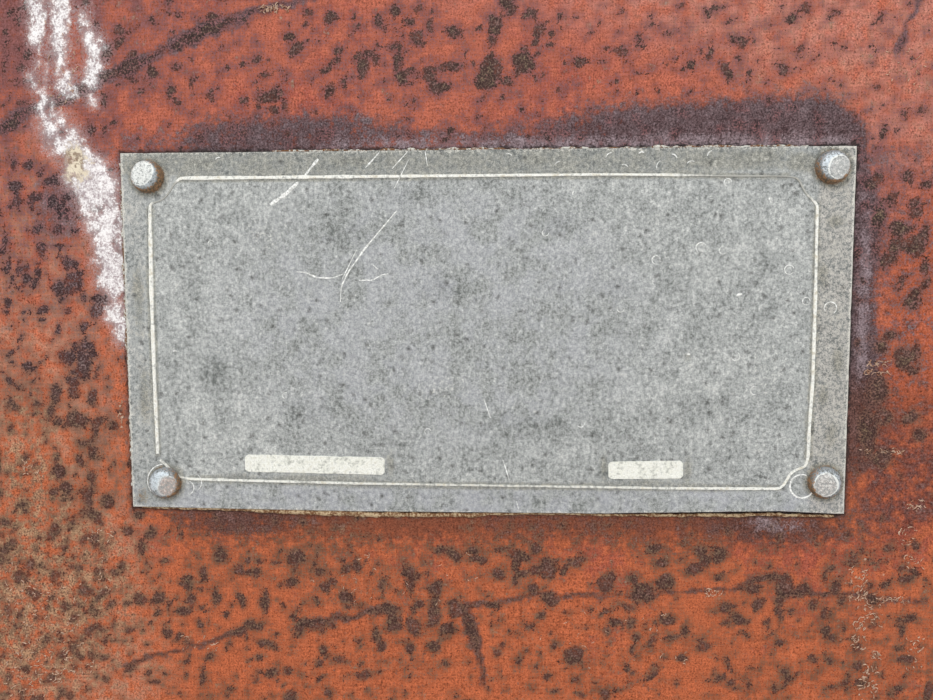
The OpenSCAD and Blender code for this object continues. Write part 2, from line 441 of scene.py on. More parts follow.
class Shader:
    def __init__(self, name, colours, **noises):
        # Each named noise is given as size, detail, seed and, where they differ, roughness and stretch
        self.colours = colours
        self.coat = None  # the running colour, which lay and shadeBy change
        self.material = bpy.data.materials.new(name)
        self.material.use_nodes = True
        self.tree = self.material.node_tree
        self.tree.nodes.clear()
        place = self.node("ShaderNodeTexCoord", out="Object")
        self.place = self.node("ShaderNodeVectorMath", {"operation": "SCALE"}, {0: place, "Scale": metre})
        self.noises = {key: self.noise(*row) for key, row in noises.items()}

    def node(self, kind, settings=None, sockets=None, out=0):
        # Settings are set first, then each socket gets its value or its wire
        made = self.tree.nodes.new(kind)
        for key, value in (settings or {}).items():
            setattr(made, key, value)
        for key, value in (sockets or {}).items():
            if isinstance(value, Wire):
                self.tree.links.new(value.socket, made.inputs[key])
            else:
                made.inputs[key].default_value = value
        return Wire(self, made.outputs[out])

    def maths(self, operation, first, second=0.0):
        return self.node("ShaderNodeMath", {"operation": operation}, {0: first, 1: second})

    def clamp(self, value):
        return self.node("ShaderNodeClamp", None, {"Value": value})

    def most(self, first, second):
        return self.maths("MAXIMUM", first, second)

    def size(self, value):
        return self.maths("ABSOLUTE", value)

    def fade(self, value, start, end):
        # 0 at start and 1 at end, eased between them
        settings = {"interpolation_type": "SMOOTHSTEP"}
        sockets = {"Value": value, "From Min": start, "From Max": end}
        return self.node("ShaderNodeMapRange", settings, sockets)

    def field(self, name):
        return self.node("ShaderNodeAttribute", {"attribute_name": name}, out="Fac")

    def axes(self):
        split = self.node("ShaderNodeSeparateXYZ", None, {0: self.place})
        return split, split.other("Y"), split.other("Z")

    def moved(self, seed, stretch=(1, 1, 1)):
        scale = [1 / part for part in stretch]
        sockets = {"Vector": self.place, "Location": (seed, seed, seed), "Scale": scale}
        return self.node("ShaderNodeMapping", None, sockets)

    def noise(self, size, detail, seed, roughness=0.5, stretch=(1, 1, 1)):
        # Noise whose cells are about the given size in millimetres, drawn out along any axis
        sockets = {"Vector": self.moved(seed, stretch), "Scale": 1 / size, "Detail": detail}
        return self.node("ShaderNodeTexNoise", None, {**sockets, "Roughness": roughness})

    def cells(self, size, seed):
        # Distance to the nearest of random points that lie about the given size apart, and the
        # same node's Color for a random value per point
        sockets = {"Vector": self.moved(seed), "Scale": 1 / size}
        points = self.node("ShaderNodeTexVoronoi", None, sockets, "Distance")
        return points, points.other("Color")

    def part(self, name, share):
        return self.noises[name] if share == 1 else self.noises[name] * share

    def eaten(self, mask, **bites):
        # The mask plus, for each named noise, its distance from a half times its bite
        for name, bite in bites.items():
            mask = mask + self.part(name, bite)
        return mask - sum(bites.values()) / 2

    def worn(self, mask, start, end, **bites):
        # A field's or wire's mask with eaten edges, faded from start to end
        mask = self.field(mask) if isinstance(mask, str) else mask
        return self.fade(self.eaten(mask, **bites), start, end)

    def grains(self, start, end, base=0.0, **shares):
        # The base plus each named noise times its share, faded from start to end
        total = base
        for name, share in shares.items():
            part = self.part(name, share)
            total = total + part if total else part
        return self.fade(total, start, end)

    def mix(self, factor, first, second):
        # Both colours are wires or names of the shader's own colours
        first, second = (paint(*self.colours[c]) if isinstance(c, str) else c for c in (first, second))
        return self.node("ShaderNodeMix", {"data_type": "RGBA"}, {0: factor, 6: first, 7: second}, 2)

    def lay(self, factor, colour):
        self.coat = self.mix(factor, self.coat, colour)

    def shadeBy(self, factor):
        sockets = {0: self.coat, "Scale": factor}
        self.coat = self.node("ShaderNodeVectorMath", {"operation": "SCALE"}, sockets)

    def finish(self, roughness, height, depth, metallic=0.0, gloss=0.5):
        # depth is how far in millimetres the bump rises as height goes from 0 to 1
        relief = {"Height": height, "Strength": 1.0, "Distance": depth / metre}
        bump = self.node("ShaderNodeBump", None, relief)
        sockets = {"Base Color": self.coat, "Roughness": roughness, "Metallic": metallic, "Normal": bump}
        surface = self.node("ShaderNodeBsdfPrincipled", None, {**sockets, "Specular IOR Level": gloss})
        output = self.tree.nodes.new("ShaderNodeOutputMaterial")
        self.tree.links.new(surface.socket, output.inputs["Surface"])
        return self.material


def paint(red, green, blue):
    # Screen colour from 0 to 255 as the linear colour that a socket takes
    shares = np.array([red, green, blue]) / 255
    linear = np.where(shares <= 0.04045, shares / 12.92, ((shares + 0.055) / 1.055) ** 2.4)
    return (*linear.tolist(), 1.0)


# Painted sheet: red-orange paint, rust spots, a purple stain round the plate and a white splash
sheetColours = {
    "orangeTop": (172, 94, 72),
    "orangeLow": (179, 96, 62),
    "crimson": (156, 78, 64),
    "pink": (178, 114, 102),
    "deepRed": (118, 60, 50),
    "umber": (116, 66, 48),
    "dust": (176, 122, 98),
    "hazeTop": (114, 74, 74),
    "hazeLow": (101, 76, 60),
    "pepper": (78, 56, 54),
    "moss": (170, 138, 104),
    "mossDark": (96, 84, 66),
    "spot": (112, 88, 82),
    "spotDark": (68, 54, 52),
    "spotOlive": (102, 92, 70),
    "stain": (102, 88, 92),
    "stainDark": (60, 46, 50),
    "stainLow": (106, 76, 70),
    "stainLowDark": (58, 40, 38),
    "vivid": (190, 92, 50),
    "bloom": (150, 136, 142),
    "gapShadow": (40, 36, 36),
    "splash": (246, 244, 244),
    "splashGrey": (160, 146, 150),
    "splashThin": (172, 150, 150),
    "ochre": (228, 216, 190),
    "ochreDark": (124, 100, 64),
    "flake": (206, 182, 160),
}


# Tints of the ground coat in order. Columns: colour, field, whether noise wears the field's edge or
# breaks all of it into grains, where that starts and ends, strength, and each noise's part in it
sheetTints = [
    ("crimson", "red", "worn", 0.3, 1.1, 0.8, {"patchy": 2, "ragged": 1.6}),
    ("pink", "pink", "grains", 0.3, 0.65, 1, {"patchy": 1}),
    ("deepRed", "deepRed", "grains", 0.5, 1.1, 1, {"patchy": 1, "ragged": 0.8}),
    ("vivid", "vivid", "grains", 0.75, 1.05, 0.8, {"patchy": 1, "ragged": 1}),
    # The umber tint: a broad darker brown band below the plate and, right under its lower edge, a thin
    # painted shadow
    ("umber", "umber", "worn", 0.15, 0.9, 0.9, {"ragged": 2.2, "grain": 1.4}),
    ("dust", "dust", "grains", 0.72, 1.06, 1, {"patchy": 0.8, "ragged": 1}),
]


def sheetMaterial(colours):
    s = Shader(
        "sheetPaint",
        colours,
        ragged=(1.3, 4, 11, 0.66),
        grain=(0.42, 2, 23, 0.6),
        dots=(0.28, 1, 29),
        patchy=(3.6, 3, 37, 0.6),
        brushedAcross=(0.5, 2, 41, 0.5, (10, 1, 1)),
        brushedUp=(0.5, 2, 43, 0.5, (1, 1, 10)),
    )
    ragged, grain, dots = s.noises["ragged"], s.noises["grain"], s.noises["dots"]
    brushed = s.noises["brushedAcross"] + s.noises["brushedUp"]
    points, chance = s.cells(1.9, 47)
    low, spotField, density = s.field("low"), s.field("spot"), s.field("density")
    across, away, up = s.axes()
    fromPlate = s.most(s.size(across) - float(plateHigh[0]), s.size(up) - float(plateHigh[2]))
    inFront = s.fade(away, float(sheetLow[1]) + 1.2, float(sheetLow[1]) + 0.8)
    # Ground coat: orange with its tints
    s.coat = s.mix(low, "orangeTop", "orangeLow")
    for tint, field, form, start, end, strength, parts in sheetTints:
        if form == "worn":
            mask = s.worn(field, start, end, **parts)
        else:
            mask = s.field(field) * s.grains(start, end, **parts)
        s.lay(mask * strength, tint)
    # A dull film that gathers near the spots, in grains of all sizes, and dark pepper in it
    near = s.fade(spotField, 3.0, 0.2)
    hazeColour = s.mix(low, "hazeTop", "hazeLow")
    film = s.field("dull") + near * 0.24
    dull = s.grains(1.64, 1.98, film, patchy=0.3, ragged=0.7, grain=1.3, dots=0.7)
    s.lay(dull * 0.85, hazeColour)
    pepper = s.grains(0.9, 0.96, density * 0.08 + near * 0.06, grain=1, ragged=0.4)
    s.lay(pepper * 0.66, "pepper")
    # Moss and dirt
    moss = s.worn("moss", 0.3, 0.9, ragged=2.6, patchy=1.6)
    mossColour = s.mix(s.grains(0.92, 1.18, grain=1, patchy=1), "mossDark", "moss")
    s.lay(moss * 0.62, mossColour)
    # Stain beside the plate, redder low down, with a chalky bloom on it
    stain = s.worn("stain", 0.15, 0.9, patchy=0.8, ragged=1.4, grain=1.0)
    stainGrain = s.grains(0.8, 1.4, grain=0.5, dots=0.4, ragged=0.7, patchy=0.6)
    stainColour = s.mix(stainGrain, "stainDark", "stain")
    stainLow = s.mix(stainGrain, "stainLowDark", "stainLow")
    stainColour = s.mix(s.fade(up, -5.0, -15.0), stainColour, stainLow)
    bloom = s.worn("bloom", 0.2, 1.4, patchy=1.6, ragged=1.4, grain=1.0)
    stainColour = s.mix(bloom * 0.62, stainColour, "bloom")
    s.lay(stain * 0.96, stainColour)
    # Rust spots with a thin haze round them, and specks between
    gap = s.eaten(spotField, ragged=3.4, grain=2.2, dots=1.0)
    haze = s.fade(gap, 2.2 - low * 0.9, 0.2) * s.grains(1.0, 1.14, grain=1, dots=0.5, ragged=0.6)
    s.lay(haze * 0.9, hazeColour)
    speckReach = chance * 0.3 + density * 0.2 - 0.2
    specks = s.worn(points - speckReach, 0.08, -0.05, grain=0.5)
    solid = s.grains(0.9, 1.15, patchy=1, ragged=0.6, grain=0.8) * 0.3 + 0.65
    inside = s.most(s.fade(gap, 0.25, -0.2) * solid, specks * 0.85)
    inside = inside * (1.0 - s.field("faded") * 0.15)
    core = s.grains(0.88, 1.2, grain=1, dots=0.5, ragged=0.4)
    spotColour = s.mix(s.grains(0.46, 0.6, patchy=1) * 0.8, "spot", "spotOlive")
    spotColour = s.mix(core, "spotDark", spotColour)
    spotColour = s.mix(low * 0.15, spotColour, "umber")
    mauve = s.mix(core, "stainDark", "stain")
    spotColour = s.mix(s.field("mauve"), spotColour, mauve)
    s.lay(inside, spotColour)
    # A dark line in the joint round the plate: painted shadow of the gap, with dirt in it
    joint = s.worn(fromPlate, 1.2, 0.2, ragged=3.4) * inFront
    s.lay(joint * 0.85, "gapShadow")
    # Grains of light and shade over all of it, stronger in the dust, and brush marks both ways
    shade = grain * 2.3 + dots * 1.2 + brushed * 0.6 - 1.375
    shade = shade + s.field("dust") * (grain + ragged * 1.2 - 1.1) * 0.55
    s.shadeBy(shade)
    # Light flakes
    flakes = s.fade(points, 0.24, 0.1) * s.fade(chance, 0.62, 0.7)
    flakes = flakes * s.worn("flake", 0.35, 0.75, ragged=1)
    s.lay(flakes * 0.6, "flake")
    # White splash over everything, broken into patches, with an ochre patch halfway down
    cover = s.eaten(s.field("splash") - 0.25, patchy=3.0, ragged=4.2, grain=3.2, dots=1.6)
    thin = s.fade(cover, 3.6, 0.4) * s.grains(0.86, 1.14, grain=1, dots=0.5, ragged=0.5)
    thick = s.fade(cover, 2.8, 0.6) * s.grains(0.78, 0.88, grain=1, dots=0.4)
    thick = s.most(s.fade(cover, 0.9, -0.9), thick)
    grey = s.grains(1.2, 1.75, grain=1, ragged=1, patchy=0.6, dots=0.3)
    white = s.mix(grey, "splash", "splashGrey")
    ochre = s.mix(s.grains(0.44, 0.56, ragged=1), "ochreDark", "ochre")
    white = s.mix(s.worn("ochre", 0.25, 0.8, ragged=2.4) * 0.85, white, ochre)
    s.lay(thin * 0.75, "splashThin")
    s.lay(thick * 0.95, white)
    height = s.clamp(inside * 0.3 + thick * 0.6 + grain * 0.35 + brushed * 0.12)
    roughness = s.clamp(0.6 + inside * 0.25 + thick * 0.2 + stain * 0.1)
    return s.finish(roughness, height, 0.16, gloss=0.16)


# What lies on the sheet, by place across and up from the plate's middle.
# Spots are (across, up, half width, half height, lean in degrees); strokes are runs of
# (across, up, half width); bands beside the plate are (place along it, outer limit, strength).
sheetLook = {
    "fineStep": 0.8,
    "coarseStep": 1.6,
    "fineAcross": (-113, 103),
    "fineUp": (-88, 75),
    "edge": 0.5,
    "edgeRound": 0.35,
    # Lowest and highest corner of the marks listed one by one
    "seen": ((-109, 0, -85), (98, 0, 71.5)),
    # Scattered spots: size of their cells, largest radius, share of the cells, seed
    "scatter": {"large": (9.5, 2.6, 0.8, 21), "middle": (5.0, 1.4, 0.9, 25), "small": (3.1, 0.55, 0.8, 29)},
    # Soft oval patches: across, up, half width, half height, outer and inner reach in half widths
    "patches": {
        "mossy": (-112, -62, 1.3, 1, 42, 12),
        "lilac": (-95, 28, 9, 11, 1.2, 0.3),
        "bloomBelow": (66, -42.5, 8, 2.2, 1.4, 0.4),
        "pinkRight": (90, 42, 10, 26, 1.2, 0.4),
        "deepRed": (93, -26, 12, 23, 1.25, 0.6),
        "mossLeft": (-104, -26, 9, 16, 1.2, 0.5),
        "flakeRight": (86, -64, 8, 22, 1.2, 0.4),
        "flakeLeft": (-108, -82, 1, 1, 32, 12),
        "ochre": (-91, 38, 4, 5, 1.3, 0.3),
    },
    "darkSpots": [
        # Above the plate, from the left
        (-105.5, 62, 0.6, 1.6), (-105, 66, 0.6, 1.2), (-101, 62, 0.6, 1.4), (-102.5, 58.5, 0.9, 0.7),
        (-102, 56, 2, 0.5), (-102, 51.3, 0.7, 0.6), (-103.5, 70.8, 0.8, 0.5, 40), (-101.5, 72.3, 0.8, 0.5),
        (-87, 73, 0.8, 0.8), (-84.8, 68, 0.8, 0.8), (-79, 66.5, 1.1, 0.8), (-79.8, 64.4, 1.8, 0.8, 25),
        (-82.8, 62.3, 1.1, 1.3), (-76.5, 61.3, 1.1, 0.9), (-72, 68, 0.9, 0.5), (-68.5, 72.3, 1, 0.8),
        (-66.5, 69.7, 0.4, 0.4), (-67.5, 65.8, 0.6, 0.6), (-72.3, 57.5, 0.9, 1.4), (-77.5, 56.5, 1.2, 0.8),
        (-83, 52.3, 0.8, 1.2), (-75.2, 53.7, 0.8, 0.7), (-68.5, 53.5, 0.8, 1.2), (-66.8, 51, 0.8, 0.6),
        (-63.5, 55.5, 0.5, 0.8), (-59.3, 53, 0.8, 1.4), (-80.8, 46.3, 0.6, 0.5), (-86.5, 45.5, 0.6, 1.1),
        (-58.5, 69.3, 1.3, 0.9), (-42, 64.7, 1.1, 0.9), (-49, 63.3, 0.7, 0.6), (-49.2, 60, 0.9, 0.7),
        (-52.3, 59, 0.6, 0.7), (-56.5, 57.5, 1.1, 0.6, 25), (-40.5, 62.2, 1.8, 1.3), (-32.8, 69, 1.2, 1.3),
        (-31.3, 61.8, 1.2, 1), (-31.8, 59.5, 0.8, 0.7), (-34.2, 58, 1.3, 0.7, 20), (-47.5, 56.7, 1.3, 0.7),
        (-44, 57, 1.1, 0.5, -30), (-42.7, 55.8, 0.5, 0.8), (-49.5, 54.7, 0.6, 0.5), (-46.3, 52.4, 2.2, 1.3),
        (-44.8, 53.4, 1.4, 0.8), (-43.4, 50.5, 0.9, 1.6, 20), (-48.7, 50, 0.5, 0.8),
        (-52, 51, 1.1, 0.6, 25), (-30.3, 55, 0.7, 1.4, -20), (-32.8, 52.8, 0.7, 1.2), (-26.2, 67, 1, 0.7),
        (-22, 67.3, 1.6, 1.3), (-14.3, 63.8, 1.3, 1.2), (-11, 66, 0.8, 1.5), (-6.2, 65, 1.8, 1),
        (-22.3, 62.5, 0.4, 0.4), (-25, 60.2, 2.3, 0.9), (-26, 58, 1.2, 1.6), (-23.3, 59.3, 1.4, 0.8, 20),
        (-18, 59.3, 0.9, 2.9), (-17.5, 55.5, 1.1, 1.7), (-19, 62, 1.2, 0.6), (-14.8, 56.3, 1.4, 0.6),
        (-8, 58.2, 2, 0.7, 15), (-5.5, 58, 1.4, 0.9), (-11, 56.2, 1.1, 1.8), (-9, 53.8, 2.3, 1.3),
        (5.5, 71.3, 1.8, 1.6), (6.5, 69.5, 0.9, 0.7), (2, 68, 1.3, 1), (2.8, 66, 1.4, 2.4),
        (2.2, 63, 0.7, 0.9), (10.5, 69, 1.1, 1.3), (12.3, 65, 1.1, 1.8, -10), (11.7, 62.7, 0.8, 0.8),
        (15, 64.7, 0.7, 0.8), (14.5, 62, 0.8, 0.6), (17, 68, 0.8, 0.7), (9.3, 62, 0.8, 0.7),
        (8.5, 59.7, 1.5, 1.4), (9.7, 58, 1.8, 1.2), (2.2, 57.5, 1.9, 2.7), (1, 54.5, 2.1, 1.3),
        (5.6, 54.5, 1.3, 0.9), (21.2, 58.7, 1.6, 1), (23, 64.7, 0.5, 0.4), (26, 58, 0.5, 0.5),
        (27.3, 61.5, 0.8, 0.5), (29.2, 60.2, 1.1, 0.7), (30.8, 60.9, 0.6, 0.5), (29.4, 64.3, 0.6, 0.4),
        (34, 63, 0.9, 0.7), (33.5, 56, 1, 0.6), (45.3, 57, 0.7, 0.6), (48.5, 68, 0.7, 0.6),
        (50.5, 69, 1.2, 0.5, 30), (54.3, 62.7, 1.3, 0.6), (48.3, 59.2, 0.8, 0.9), (55.2, 59, 0.6, 1),
        (52.2, 56, 1.1, 1.9, 25), (65.8, 66.7, 0.9, 0.8), (68.2, 69, 1.5, 1), (63.9, 63.3, 0.4, 0.4),
        (67.7, 59.8, 0.9, 0.5), (70.6, 58.4, 0.5, 0.4), (64.7, 56.5, 1.5, 1.4), (67, 56.7, 0.8, 0.5),
        (74.5, 68, 0.9, 0.7), (90, 47.3, 0.9, 0.6), (93.5, 47.3, 1.1, 0.7),
        # Left of the plate, downwards
        (-104.8, 38, 0.8, 1.3), (-101.7, 37.8, 1.1, 1), (-99, 36.3, 0.7, 0.5), (-104.8, 32.6, 1.5, 1.2),
        (-104, 30, 0.8, 1.8), (-99.5, 31, 1.2, 0.8, 30), (-101.5, 29, 0.7, 1.1), (-96.3, 34.2, 1.8, 1),
        (-96.2, 29.6, 1.2, 1.4), (-94, 26.8, 1.5, 0.9, 30), (-92.8, 31, 1.6, 1, -20),
        (-100.3, 23.7, 1.2, 0.9, 35), (-95.5, 23.3, 1.5, 0.9), (-99, 19, 0.9, 1.4), (-95.3, 19.8, 2.1, 0.8),
        (-108, 21, 0.7, 2), (-104, 14.5, 1.2, 1.1), (-102.7, 12.4, 1, 1.2), (-93, 16, 1.7, 1.1),
        (-92.5, 12, 2.1, 2.4), (-95.5, 10.4, 1.5, 1.8), (-94.3, 7.6, 1.3, 0.9), (-107.5, 7, 1.1, 1),
        (-99, 5.5, 1.2, 0.8), (-94.3, 4.7, 0.8, 0.7), (-103.7, 4.5, 0.6, 0.6), (-86, 7.5, 2, 1.1),
        (-81.8, 25, 0.6, 1.4), (-82.4, 20.4, 0.9, 0.9), (-81.6, 18.2, 0.6, 0.9), (-86, 28, 1.2, 0.8),
        (-85.8, 23.2, 0.8, 0.6), (-87.5, 4.6, 1.2, 1.8), (-90.5, 1.5, 1.2, 0.8), (-96, 0.5, 0.6, 0.8),
        (-107.5, -5, 1, 0.8), (-104.3, -7.7, 1.2, 1.2), (-108.5, -11, 1.2, 1), (-102, -15.8, 1.1, 0.7),
        (-103, -18, 0.7, 0.5), (-97.2, -14, 1.3, 2.2, 15), (-98.7, -17.5, 0.8, 1.9, -20),
        (-94.5, -5.5, 2, 1.3), (-90.5, -2.5, 1.8, 1.2), (-90.3, -6, 1.6, 2.8), (-92, -8.5, 2.3, 1.4),
        (-93.2, -13, 1.1, 1.5), (-89.2, -14.8, 1.2, 1.6), (-93, -20, 2.1, 1.9), (-96.7, -20, 1.3, 0.8),
        (-87.5, -20, 1.8, 1.1, 25), (-89, -21.8, 1, 1.6), (-84.2, -21.3, 1.1, 1), (-90.8, -25.3, 1.6, 1.2),
        (-88.7, -27.3, 1.1, 1.2), (-92, -29.8, 0.9, 1.1), (-97.5, -32, 1.8, 2), (-89.8, -33.5, 1, 1.6),
        (-96, -36, 1.6, 1.2), (-91, -37, 1, 1.4), (-86.5, -39, 1.2, 1.4), (-91, -39.5, 1.3, 1.3),
        # Right of the plate, downwards
        (84.8, 39.3, 0.8, 0.6), (85.3, 33.5, 1.4, 1.5), (83.5, 32, 1.1, 1.1), (91, 33.2, 1.2, 0.8),
        (95.2, 32.5, 1, 0.8), (88.7, 29, 1.1, 1.4), (86.9, 28.2, 0.6, 0.5), (93.2, 27.8, 1.2, 0.7, 25),
        (93.2, 26, 1.3, 1.1), (85.7, 25, 1.6, 2.6), (90, 22.6, 2.3, 1.9), (89.3, 19, 1.3, 1.9),
        (93, 19, 2.6, 2.1), (95, 21.3, 1.3, 1.8), (88, 16, 1.6, 1.4), (95.5, 14, 0.8, 1.8),
        (96.2, 11, 0.7, 1.1), (94.4, 8.6, 1.2, 1.2), (93, 6.5, 2.2, 1), (89.8, 9.6, 0.6, 0.6),
        (88.5, -1, 1.4, 1.2), (87.4, -3.5, 1.4, 1.2), (92, -5.3, 1.8, 2.1), (94.3, -3.8, 0.8, 1),
        (94, -7.5, 0.9, 1.2), (94, -18.5, 1.9, 1.3), (88.3, -27.3, 2.2, 1.8),
        # Below the plate, from the left
        (-110.8, -44, 1.4, 1), (-111.5, -50.5, 1.2, 1.4), (-99, -45.5, 1.1, 1.1), (-94.5, -44, 0.7, 0.7),
        (-92.7, -48.2, 0.9, 1), (-89.5, -42.3, 1.1, 1.1), (-89.8, -47.5, 1.5, 1.6), (-82, -45.8, 1.5, 1.4),
        (-79, -42, 1.1, 0.8), (-76, -46.2, 1.1, 1.1), (-79, -49.5, 1, 1.7, -20), (-73.3, -52.8, 0.9, 0.6),
        (-83, -54, 0.9, 0.9), (-85.3, -55.6, 1.3, 1.1), (-93.7, -55, 0.8, 0.8), (-106.5, -57.2, 0.6, 0.7),
        (-91.5, -60, 1, 0.6), (-88.2, -60.7, 1.3, 0.9), (-86.5, -63.6, 0.8, 0.8), (-90.3, -69, 1.8, 0.9),
        (-90.5, -64.6, 1.3, 0.6), (-94.7, -63.3, 0.7, 0.8), (-64.7, -55.5, 0.8, 1.5),
        (-60.5, -51.6, 1.2, 1.7), (-67.7, -58, 1.1, 1.2), (-67.8, -61.5, 0.9, 2.3), (-69.5, -65, 1.7, 1.1),
        (-65.2, -63.3, 0.9, 0.8), (-65.5, -67.5, 1.1, 1), (-75.3, -62, 1.2, 1.3), (-76, -65.3, 0.9, 0.9),
        (-73, -64, 0.5, 1.2, 20), (-73.5, -69.5, 0.6, 1), (-71, -71.3, 1.1, 0.7), (-62, -61, 0.8, 1.9),
        (-95.8, -73.3, 1.1, 0.9), (-102.5, -71.8, 0.9, 0.8), (-99, -75.5, 1.1, 1.2), (-91.3, -75, 0.7, 1.3),
        (-86, -72.3, 0.8, 0.8), (-107.5, -79, 1.2, 1.2), (-82.5, -79, 1.3, 1), (-76.2, -82, 0.8, 0.5),
        (-65.2, -81, 0.7, 1.4), (-64, -75.5, 1.3, 0.7, 15), (-54, -52.5, 0.7, 1), (-55.8, -55, 1.3, 1.1),
        (-52.5, -55.6, 1.7, 0.7), (-51.3, -52.5, 0.8, 0.7), (-47, -52.7, 0.9, 0.6),
        (-42.5, -51.7, 1.8, 1.7), (-43.3, -55, 0.7, 1.1), (-44, -58, 1.3, 0.9), (-38.8, -53.3, 0.5, 1),
        (-36.8, -54.8, 1.5, 0.9), (-36, -58.3, 1.4, 1.3), (-34.3, -57, 0.9, 0.7, 30),
        (-31.7, -54.2, 1.1, 1.1), (-28.8, -53.5, 1.1, 1.6), (-22.3, -57.8, 0.7, 1.6, -30),
        (-31, -60.5, 1.3, 1.5), (-38, -62, 0.8, 0.5), (-28.3, -62.3, 1.5, 0.6), (-17, -54.3, 1.7, 1.3),
        (-14.8, -55.3, 0.8, 0.7), (-16.3, -58.3, 0.8, 2), (-10, -58.3, 1.5, 1.3), (-10.6, -61.5, 0.9, 1.9),
        (-6.7, -50.5, 1.7, 1.4, -25), (-9.2, -49.4, 1, 0.6), (-55.7, -62.3, 0.8, 1.9, 20),
        (-50.5, -62.3, 0.8, 2.7), (-44, -65, 0.6, 1, -15), (-45.8, -63.2, 0.6, 0.5), (-53, -68, 2.3, 1, 15),
        (-57, -69.2, 1.9, 0.9), (-50, -72, 2.4, 0.8, -25), (-41.5, -67.3, 1.3, 1.9, -25),
        (-38, -67.2, 2.2, 1.3), (-42.7, -70.4, 0.9, 0.5), (-35.3, -67.3, 0.9, 0.7), (-20.7, -63.2, 2, 1.5),
        (-20, -66.5, 1.2, 2.2), (-15.5, -67, 1.9, 2), (-14.5, -62, 1.7, 0.9), (-11, -65, 1.7, 2.2),
        (-5.8, -63, 1.9, 1.9), (-8, -68.3, 1.8, 1), (-24, -69.5, 0.8, 1.7, 15), (-22.7, -71.9, 1.1, 1.1),
        (-16.5, -72.5, 1.5, 1.5), (-11, -71.7, 1.4, 1.2), (-36.8, -73.3, 0.9, 1.2),
        (-33.5, -75.7, 1.4, 0.6), (-37.5, -76.7, 0.9, 0.5), (-52, -75.5, 0.9, 0.6),
        (-49, -78.7, 1.7, 0.7, 15), (-44.7, -78.6, 1.2, 0.7), (-41.7, -79.5, 0.7, 0.4),
        (-36, -79.8, 0.7, 0.6), (-37.7, -81, 0.8, 0.8), (-36, -83.5, 0.9, 1), (-27.3, -79, 1.7, 1.1),
        (-44.5, -85, 1.4, 0.9), (-2, -49, 1.4, 0.9), (-1, -51.5, 1.8, 0.9), (5, -49, 1.8, 0.8),
        (8, -50.6, 2.3, 1), (7.3, -52.3, 0.9, 1.1), (12, -48.5, 1.2, 1.1), (15, -53, 1.7, 2.2),
        (12, -53.6, 1.4, 0.8), (20.3, -52.5, 1.6, 1), (18.5, -54, 0.8, 0.9), (22.5, -51.5, 1.1, 0.7),
        (3.8, -55, 1.3, 1.3), (9, -54.6, 1.4, 0.7), (11.8, -58.3, 1.2, 1.4), (2.5, -61.7, 1.4, 0.5),
        (15, -61, 0.9, 1.3), (28.3, -56.7, 1.7, 1.9), (29.5, -54.6, 0.8, 0.6), (38.6, -48.4, 1.6, 1.1, 30),
        (34.3, -55.5, 1.3, 1.3), (36.5, -58.8, 2.8, 2), (41.3, -56.5, 1.9, 1.6), (41, -51.5, 1, 0.8),
        (47.2, -53.7, 1.4, 1.1), (32.5, -61.8, 1.8, 0.5), (29, -63, 0.9, 0.5), (30.5, -65.7, 1.2, 0.9),
        (33.3, -65.3, 1, 1.4), (28, -67.8, 0.9, 0.8), (35, -68.7, 1.1, 1), (34.8, -71.5, 0.5, 1),
        (35.8, -73.5, 0.6, 0.7), (41.5, -64.7, 1.3, 1.3), (38, -70.5, 0.5, 1.4, -40), (46, -67.5, 0.8, 1.7),
        (43, -69.3, 1.4, 0.7), (41.3, -73.8, 0.7, 0.5), (45.3, -74, 1.1, 1), (38.7, -77.4, 0.7, 1.5, -40),
        (44, -79.8, 0.6, 0.5), (21.3, -73.8, 2, 1.7), (23.4, -75.6, 0.7, 0.5), (13.5, -64.3, 0.8, 0.7),
        (11.5, -66.5, 0.6, 0.5), (16.3, -71.3, 0.6, 0.9), (3.3, -73.5, 0.8, 1), (4.5, -71.5, 0.7, 0.6),
        (15, -78.5, 0.9, 0.6), (16.7, -82.3, 0.8, 0.5), (27.5, -82.5, 1.3, 0.8), (49.2, -48.6, 1.5, 1.4),
        (50, -51.2, 1.3, 2.1), (53.2, -50, 1.6, 2), (47.3, -54, 1.5, 0.9), (53.5, -54.7, 0.9, 0.6),
        (63.7, -54.9, 1.7, 0.7), (67.3, -56.6, 2, 2.2), (66.8, -60, 1.2, 1.1), (62, -61, 1.1, 1.4),
        (55.5, -62, 1.6, 0.8), (58, -64.5, 1.8, 1.2), (55, -65.8, 0.9, 0.7), (67.2, -63.5, 0.7, 1.9),
        (67.2, -70.2, 1.4, 1), (70, -62.7, 0.7, 0.8), (71.5, -57.5, 1.1, 0.9), (74, -61, 1, 1.3),
        (76.7, -63.2, 0.8, 1), (78, -52.2, 1, 0.8), (76.8, -54.5, 0.8, 1.3), (79, -57, 0.8, 1.7),
        (80.3, -60.3, 0.8, 0.9), (82.5, -50.7, 1.4, 0.8), (84.5, -49, 0.8, 1.1), (86.7, -51.3, 1.2, 0.6),
        (89.3, -51, 0.8, 0.6), (90.3, -48, 1.1, 0.8), (95.8, -47, 0.7, 1), (94, -52.5, 0.9, 0.9),
        (96, -53, 0.9, 0.9), (94.5, -55, 1.4, 0.8), (90, -56.5, 1.1, 1), (86.3, -56.7, 0.7, 0.9),
        (87.3, -59.5, 1.5, 0.8), (95.5, -64.3, 1.8, 0.6), (93.5, -66.5, 0.8, 1.4), (77.2, -67.5, 1.2, 1.4),
        (79, -69, 0.9, 0.7), (93.3, -70.5, 0.8, 0.8), (74.9, -73.5, 0.9, 0.7), (78.7, -73.5, 0.9, 0.9),
        (84.7, -75, 0.9, 1.2), (84.2, -71.3, 0.9, 0.9), (95, -73.8, 1.5, 1), (69, -77, 1, 0.9),
        (70, -78.5, 0.8, 0.6), (72, -77, 0.7, 0.4), (67, -80.3, 0.8, 0.7), (85.5, -79, 1.1, 1.2),
        (82, -78.8, 0.8, 1.7, -45), (79.5, -80, 1.1, 0.5), (93.8, -80, 1.2, 0.7), (50.5, -71, 1.7, 0.8, 10),
